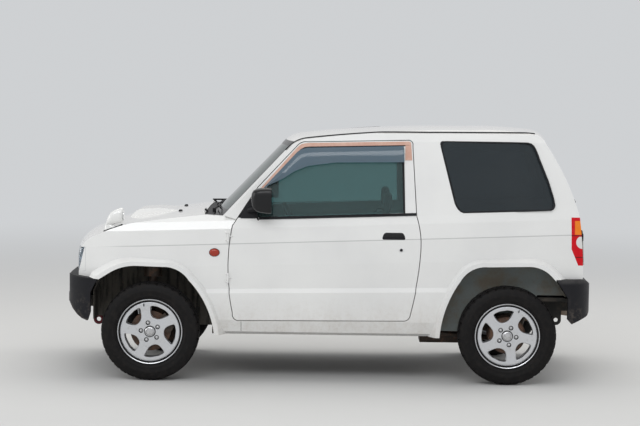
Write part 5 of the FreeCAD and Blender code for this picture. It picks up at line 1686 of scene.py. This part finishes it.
# Dashboard: vents, instrument hood and dials; levers; inner mirror
fittings = {
    # middle across and up, half width
    "vents": [(-0.450, 0.938, 0.055), (-0.085, 0.938, 0.060), (0.085, 0.938, 0.060), (0.475, 0.938, 0.050)],
    "ventFace": -0.394,
    "ventHalf": 0.026,
    "ventLip": 0.006,
    "ventStep": 0.012,
    "hood": [(-0.520, 0.150, 0.016), (-0.470, 0.158, 0.040), (-0.430, 0.162, 0.052), (-0.402, 0.160, 0.050),
             (-0.400, 0.154, 0.044), (-0.432, 0.148, 0.040)],
    "hoodSpot": (0.330, 1.000),
    # across from the hood's middle, radius
    "dials": [(-0.060, 0.040), (0.050, 0.040), (0.125, 0.022)],
    "dialFace": -0.434,
    # foot along and across, height, radius
    "levers": [(-0.285, -0.010, 0.270, 0.006), (-0.215, -0.055, 0.175, 0.005)],
    "boot": [(0.0, 0.050, 0.034, 3), (0.020, 0.044, 0.030, 3), (0.050, 0.022, 0.018, 2.4),
             (0.085, 0.010, 0.010, 2)],
    "knob": [(-0.014, 0.008), (0.0, 0.014), (0.020, 0.020), (0.036, 0.018), (0.046, 0.008)],
    "brake": [(0.010, 0.0, 0.400), (0.060, 0.0, 0.430), (0.200, 0.0, 0.482)],
    "mirror": (-0.205, 0.0, 1.405),
    "mirrorHalf": (0.112, 0.030),
    "mirrorRings": [(-0.024, 0.55), (-0.018, 0.85), (-0.006, 0.98), (0.004, 1.0), (0.006, 0.97),
                    (0.004, 0.93)],
    "mirrorPane": [(0.0045, 0.103, 0.0265), (0.0060, 0.103, 0.0265)],
    "mirrorStem": [(-0.015, 0.0), (-0.022, 0.040), (-0.030, 0.078)],
}


def ventForm(y, z, half):
    x, high, lip = fittings["ventFace"], fittings["ventHalf"], fittings["ventLip"]
    rows = [(-0.014, half, high), (0.003, half, high), (0.003, half - lip, high - lip),
            (-0.006, half - lip, high - lip)]
    form = stacked((x, y, z), "X", rows, 6, 40)
    reach = half - 0.005
    for step in (-1, 0, 1):
        bar = z + step * fittings["ventStep"]
        slab(upright(x - 0.006, y - reach, y + reach, bar - 0.001, bar + 0.001), (0.007, 0, 0), form=form)
    return form


def dialForm():
    y, z = fittings["hoodSpot"]
    forms = []
    for offset, radius in fittings["dials"]:
        profile = [(0.0, 0.0), (radius, 0.0), (radius, 0.008), (radius - 0.004, 0.008),
                   (radius - 0.005, 0.002), (0.0, 0.002)]
        spot = (fittings["dialFace"], y + offset, z + 0.006)
        forms.append(turned(spun(profile, 40, closed=False), -90, "Z", spot))
    return merged(*forms)


def leverForms():
    foot = cabin["floor"]
    boots, rods = [], []
    for x, y, high, radius in fittings["levers"]:
        boots.append(stacked((x, y, foot), "Z", fittings["boot"], 3, 32))
        rods.append(tube([(x, y, foot + 0.070), (x + 0.012, y, foot + high)], radius, False, 12))
        knob = [(lift, wide, wide) for lift, wide in fittings["knob"]]
        boots.append(stacked((x + 0.013, y, foot + high), "Z", knob, 2, 28))
    grip = fittings["brake"]
    rods.append(tube(grip, 0.009, False, 12))
    last = Vector(grip[-1])
    way = (last - Vector(grip[-2])).normalized()
    boots.append(tube([last - way * 0.105, last + way * 0.006], 0.0165, False, 16))
    (front, rear), half, high = cabin["tunnelBox"]
    boots.append(boxForm((front, -half, foot), (rear, half, high), 0.012))
    return merged(*boots), merged(*rods)


def innerMirror():
    x, y, z = fittings["mirror"]
    half, high = fittings["mirrorHalf"]
    rows = [(depth, half * share, high * share) for depth, share in fittings["mirrorRings"]]
    stem = tube([(x + along, y, z + up) for along, up in fittings["mirrorStem"]], 0.006, sides=12)
    return merged(stacked((x, y, z), "X", rows, 3, 44), stem)


def setCabin():
    vents = merged(*[ventForm(*row) for row in fittings["vents"]])
    finishPiece("dash_vents", vents, "root", "trim_black")
    hood = stacked((0, *fittings["hoodSpot"]), "X", fittings["hood"], 3.4, 48)
    finishPiece("dash_hood", hood, "root", "dash_grey", sharp=50)
    finishPiece("dash_dials", dialForm(), "root", "trim_black", glossBlack)
    boots, rods = leverForms()
    finishPiece("lever_boots", boots, "root", "trim_black")
    finishPiece("lever_rods", rods, "root", "alloy", nutSteel)
    finishPiece("inner_mirror", innerMirror(), "root", "trim_black")
    pane = stacked(fittings["mirror"], "X", fittings["mirrorPane"], 3, 44)
    finishPiece("inner_mirror_glass", pane, "root", "alloy", chrome)


setSeats()
setCards()
setCabin()
print("cabin fitted")


# Floor, backdrop, light
stageLook = {
    "floor": (0.60, 0.60, 0.59),
    "grain": (0.5, 0.5, 0.49),
    "seen": (0.62, 0.635, 0.65),
    "world": 0.62,
    "size": 60,
    "fade": (3.0, 13.0),
}


def setFloor(look):
    floor = bmesh.new()
    bmesh.ops.create_grid(floor, x_segments=2, y_segments=2, size=look["size"])
    mesh = bpy.data.meshes.new("floor")
    floor.to_mesh(mesh)
    floor.free()
    ground = Finish("paleFloor", rough=0.9)
    grain = ground.noise(3.0, 5.0, 0.6)
    ground.feed("colour", ground.mix(grain * 0.12, look["floor"], look["grain"]))
    reach = (ground.x * ground.x + ground.y * ground.y) ** 0.5
    haze = ground.add("ShaderNodeEmission", {}, {"Color": (*look["seen"], 1), "Strength": 1.0})
    faded = ground.add("ShaderNodeMixShader", {}, {0: reach.rise(*look["fade"]), 2: haze})
    ground.tree.links.new(ground.shader.outputs[0], faded.socket.node.inputs[1])
    output = next(node for node in ground.tree.nodes if node.type == "OUTPUT_MATERIAL")
    ground.tree.links.new(faded.socket, output.inputs["Surface"])
    mesh.materials.append(ground.material)
    piece = bpy.data.objects.new("floor", mesh)
    scene.collection.objects.link(piece)


def setSky(look):
    # one tone is seen by the camera, straight or through glass, another lights the car
    world = bpy.data.worlds.new("softSky")
    scene.world = world
    world.use_nodes = True
    tree = world.node_tree
    sky = tree.nodes["Background"]
    path = tree.nodes.new("ShaderNodeLightPath")
    seen = Flow(tree, path.outputs["Is Camera Ray"]).most(Flow(tree, path.outputs["Is Transmission Ray"]))
    blend = tree.nodes.new("ShaderNodeMix")
    blend.data_type = "RGBA"
    join(tree, seen, blend.inputs[0])
    blend.inputs[6].default_value = (look["world"], look["world"] * 1.01, look["world"] * 1.03, 1)
    blend.inputs[7].default_value = (*look["seen"], 1)
    tree.links.new(blend.outputs[2], sky.inputs["Color"])
    sky.inputs["Strength"].default_value = 1.0


# Where each lamp stands, what it faces, its size in metres, power and tint
lamps = {
    "overhead": {"spot": (0.6, 1.6, 6.5), "aim": (0, 0, 0.6), "size": (9, 5), "power": 175,
                 "tint": (1, 0.97, 0.92)},
    "side": {"spot": (-1.5, -8.8, 7.2), "aim": (0, 0, 0.6), "size": (10, 3.2), "power": 375,
             "tint": (0.97, 0.985, 1)},
    "nose": {"spot": (-8.0, -1.5, 3.0), "aim": (0, 0, 0.7), "size": (4, 3), "power": 105,
             "tint": (1, 0.99, 0.97)},
    "tail": {"spot": (8.0, 2.5, 3.4), "aim": (0, 0, 0.7), "size": (5, 3), "power": 130,
             "tint": (1, 0.99, 0.97)},
}


def setLamps(table):
    for name, lamp in table.items():
        data = bpy.data.lights.new(name, "AREA")
        data.shape, data.size, data.size_y = "RECTANGLE", *lamp["size"]
        data.energy, data.color = lamp["power"], lamp["tint"]
        light = bpy.data.objects.new(name, data)
        scene.collection.objects.link(light)
        light.location = lamp["spot"]
        way = Vector(lamp["aim"]) - Vector(lamp["spot"])
        light.rotation_euler = way.to_track_quat("-Z", "Y").to_euler()


setFloor(stageLook)
setSky(stageLook)
setLamps(lamps)
scene.view_settings.view_transform = "Standard"
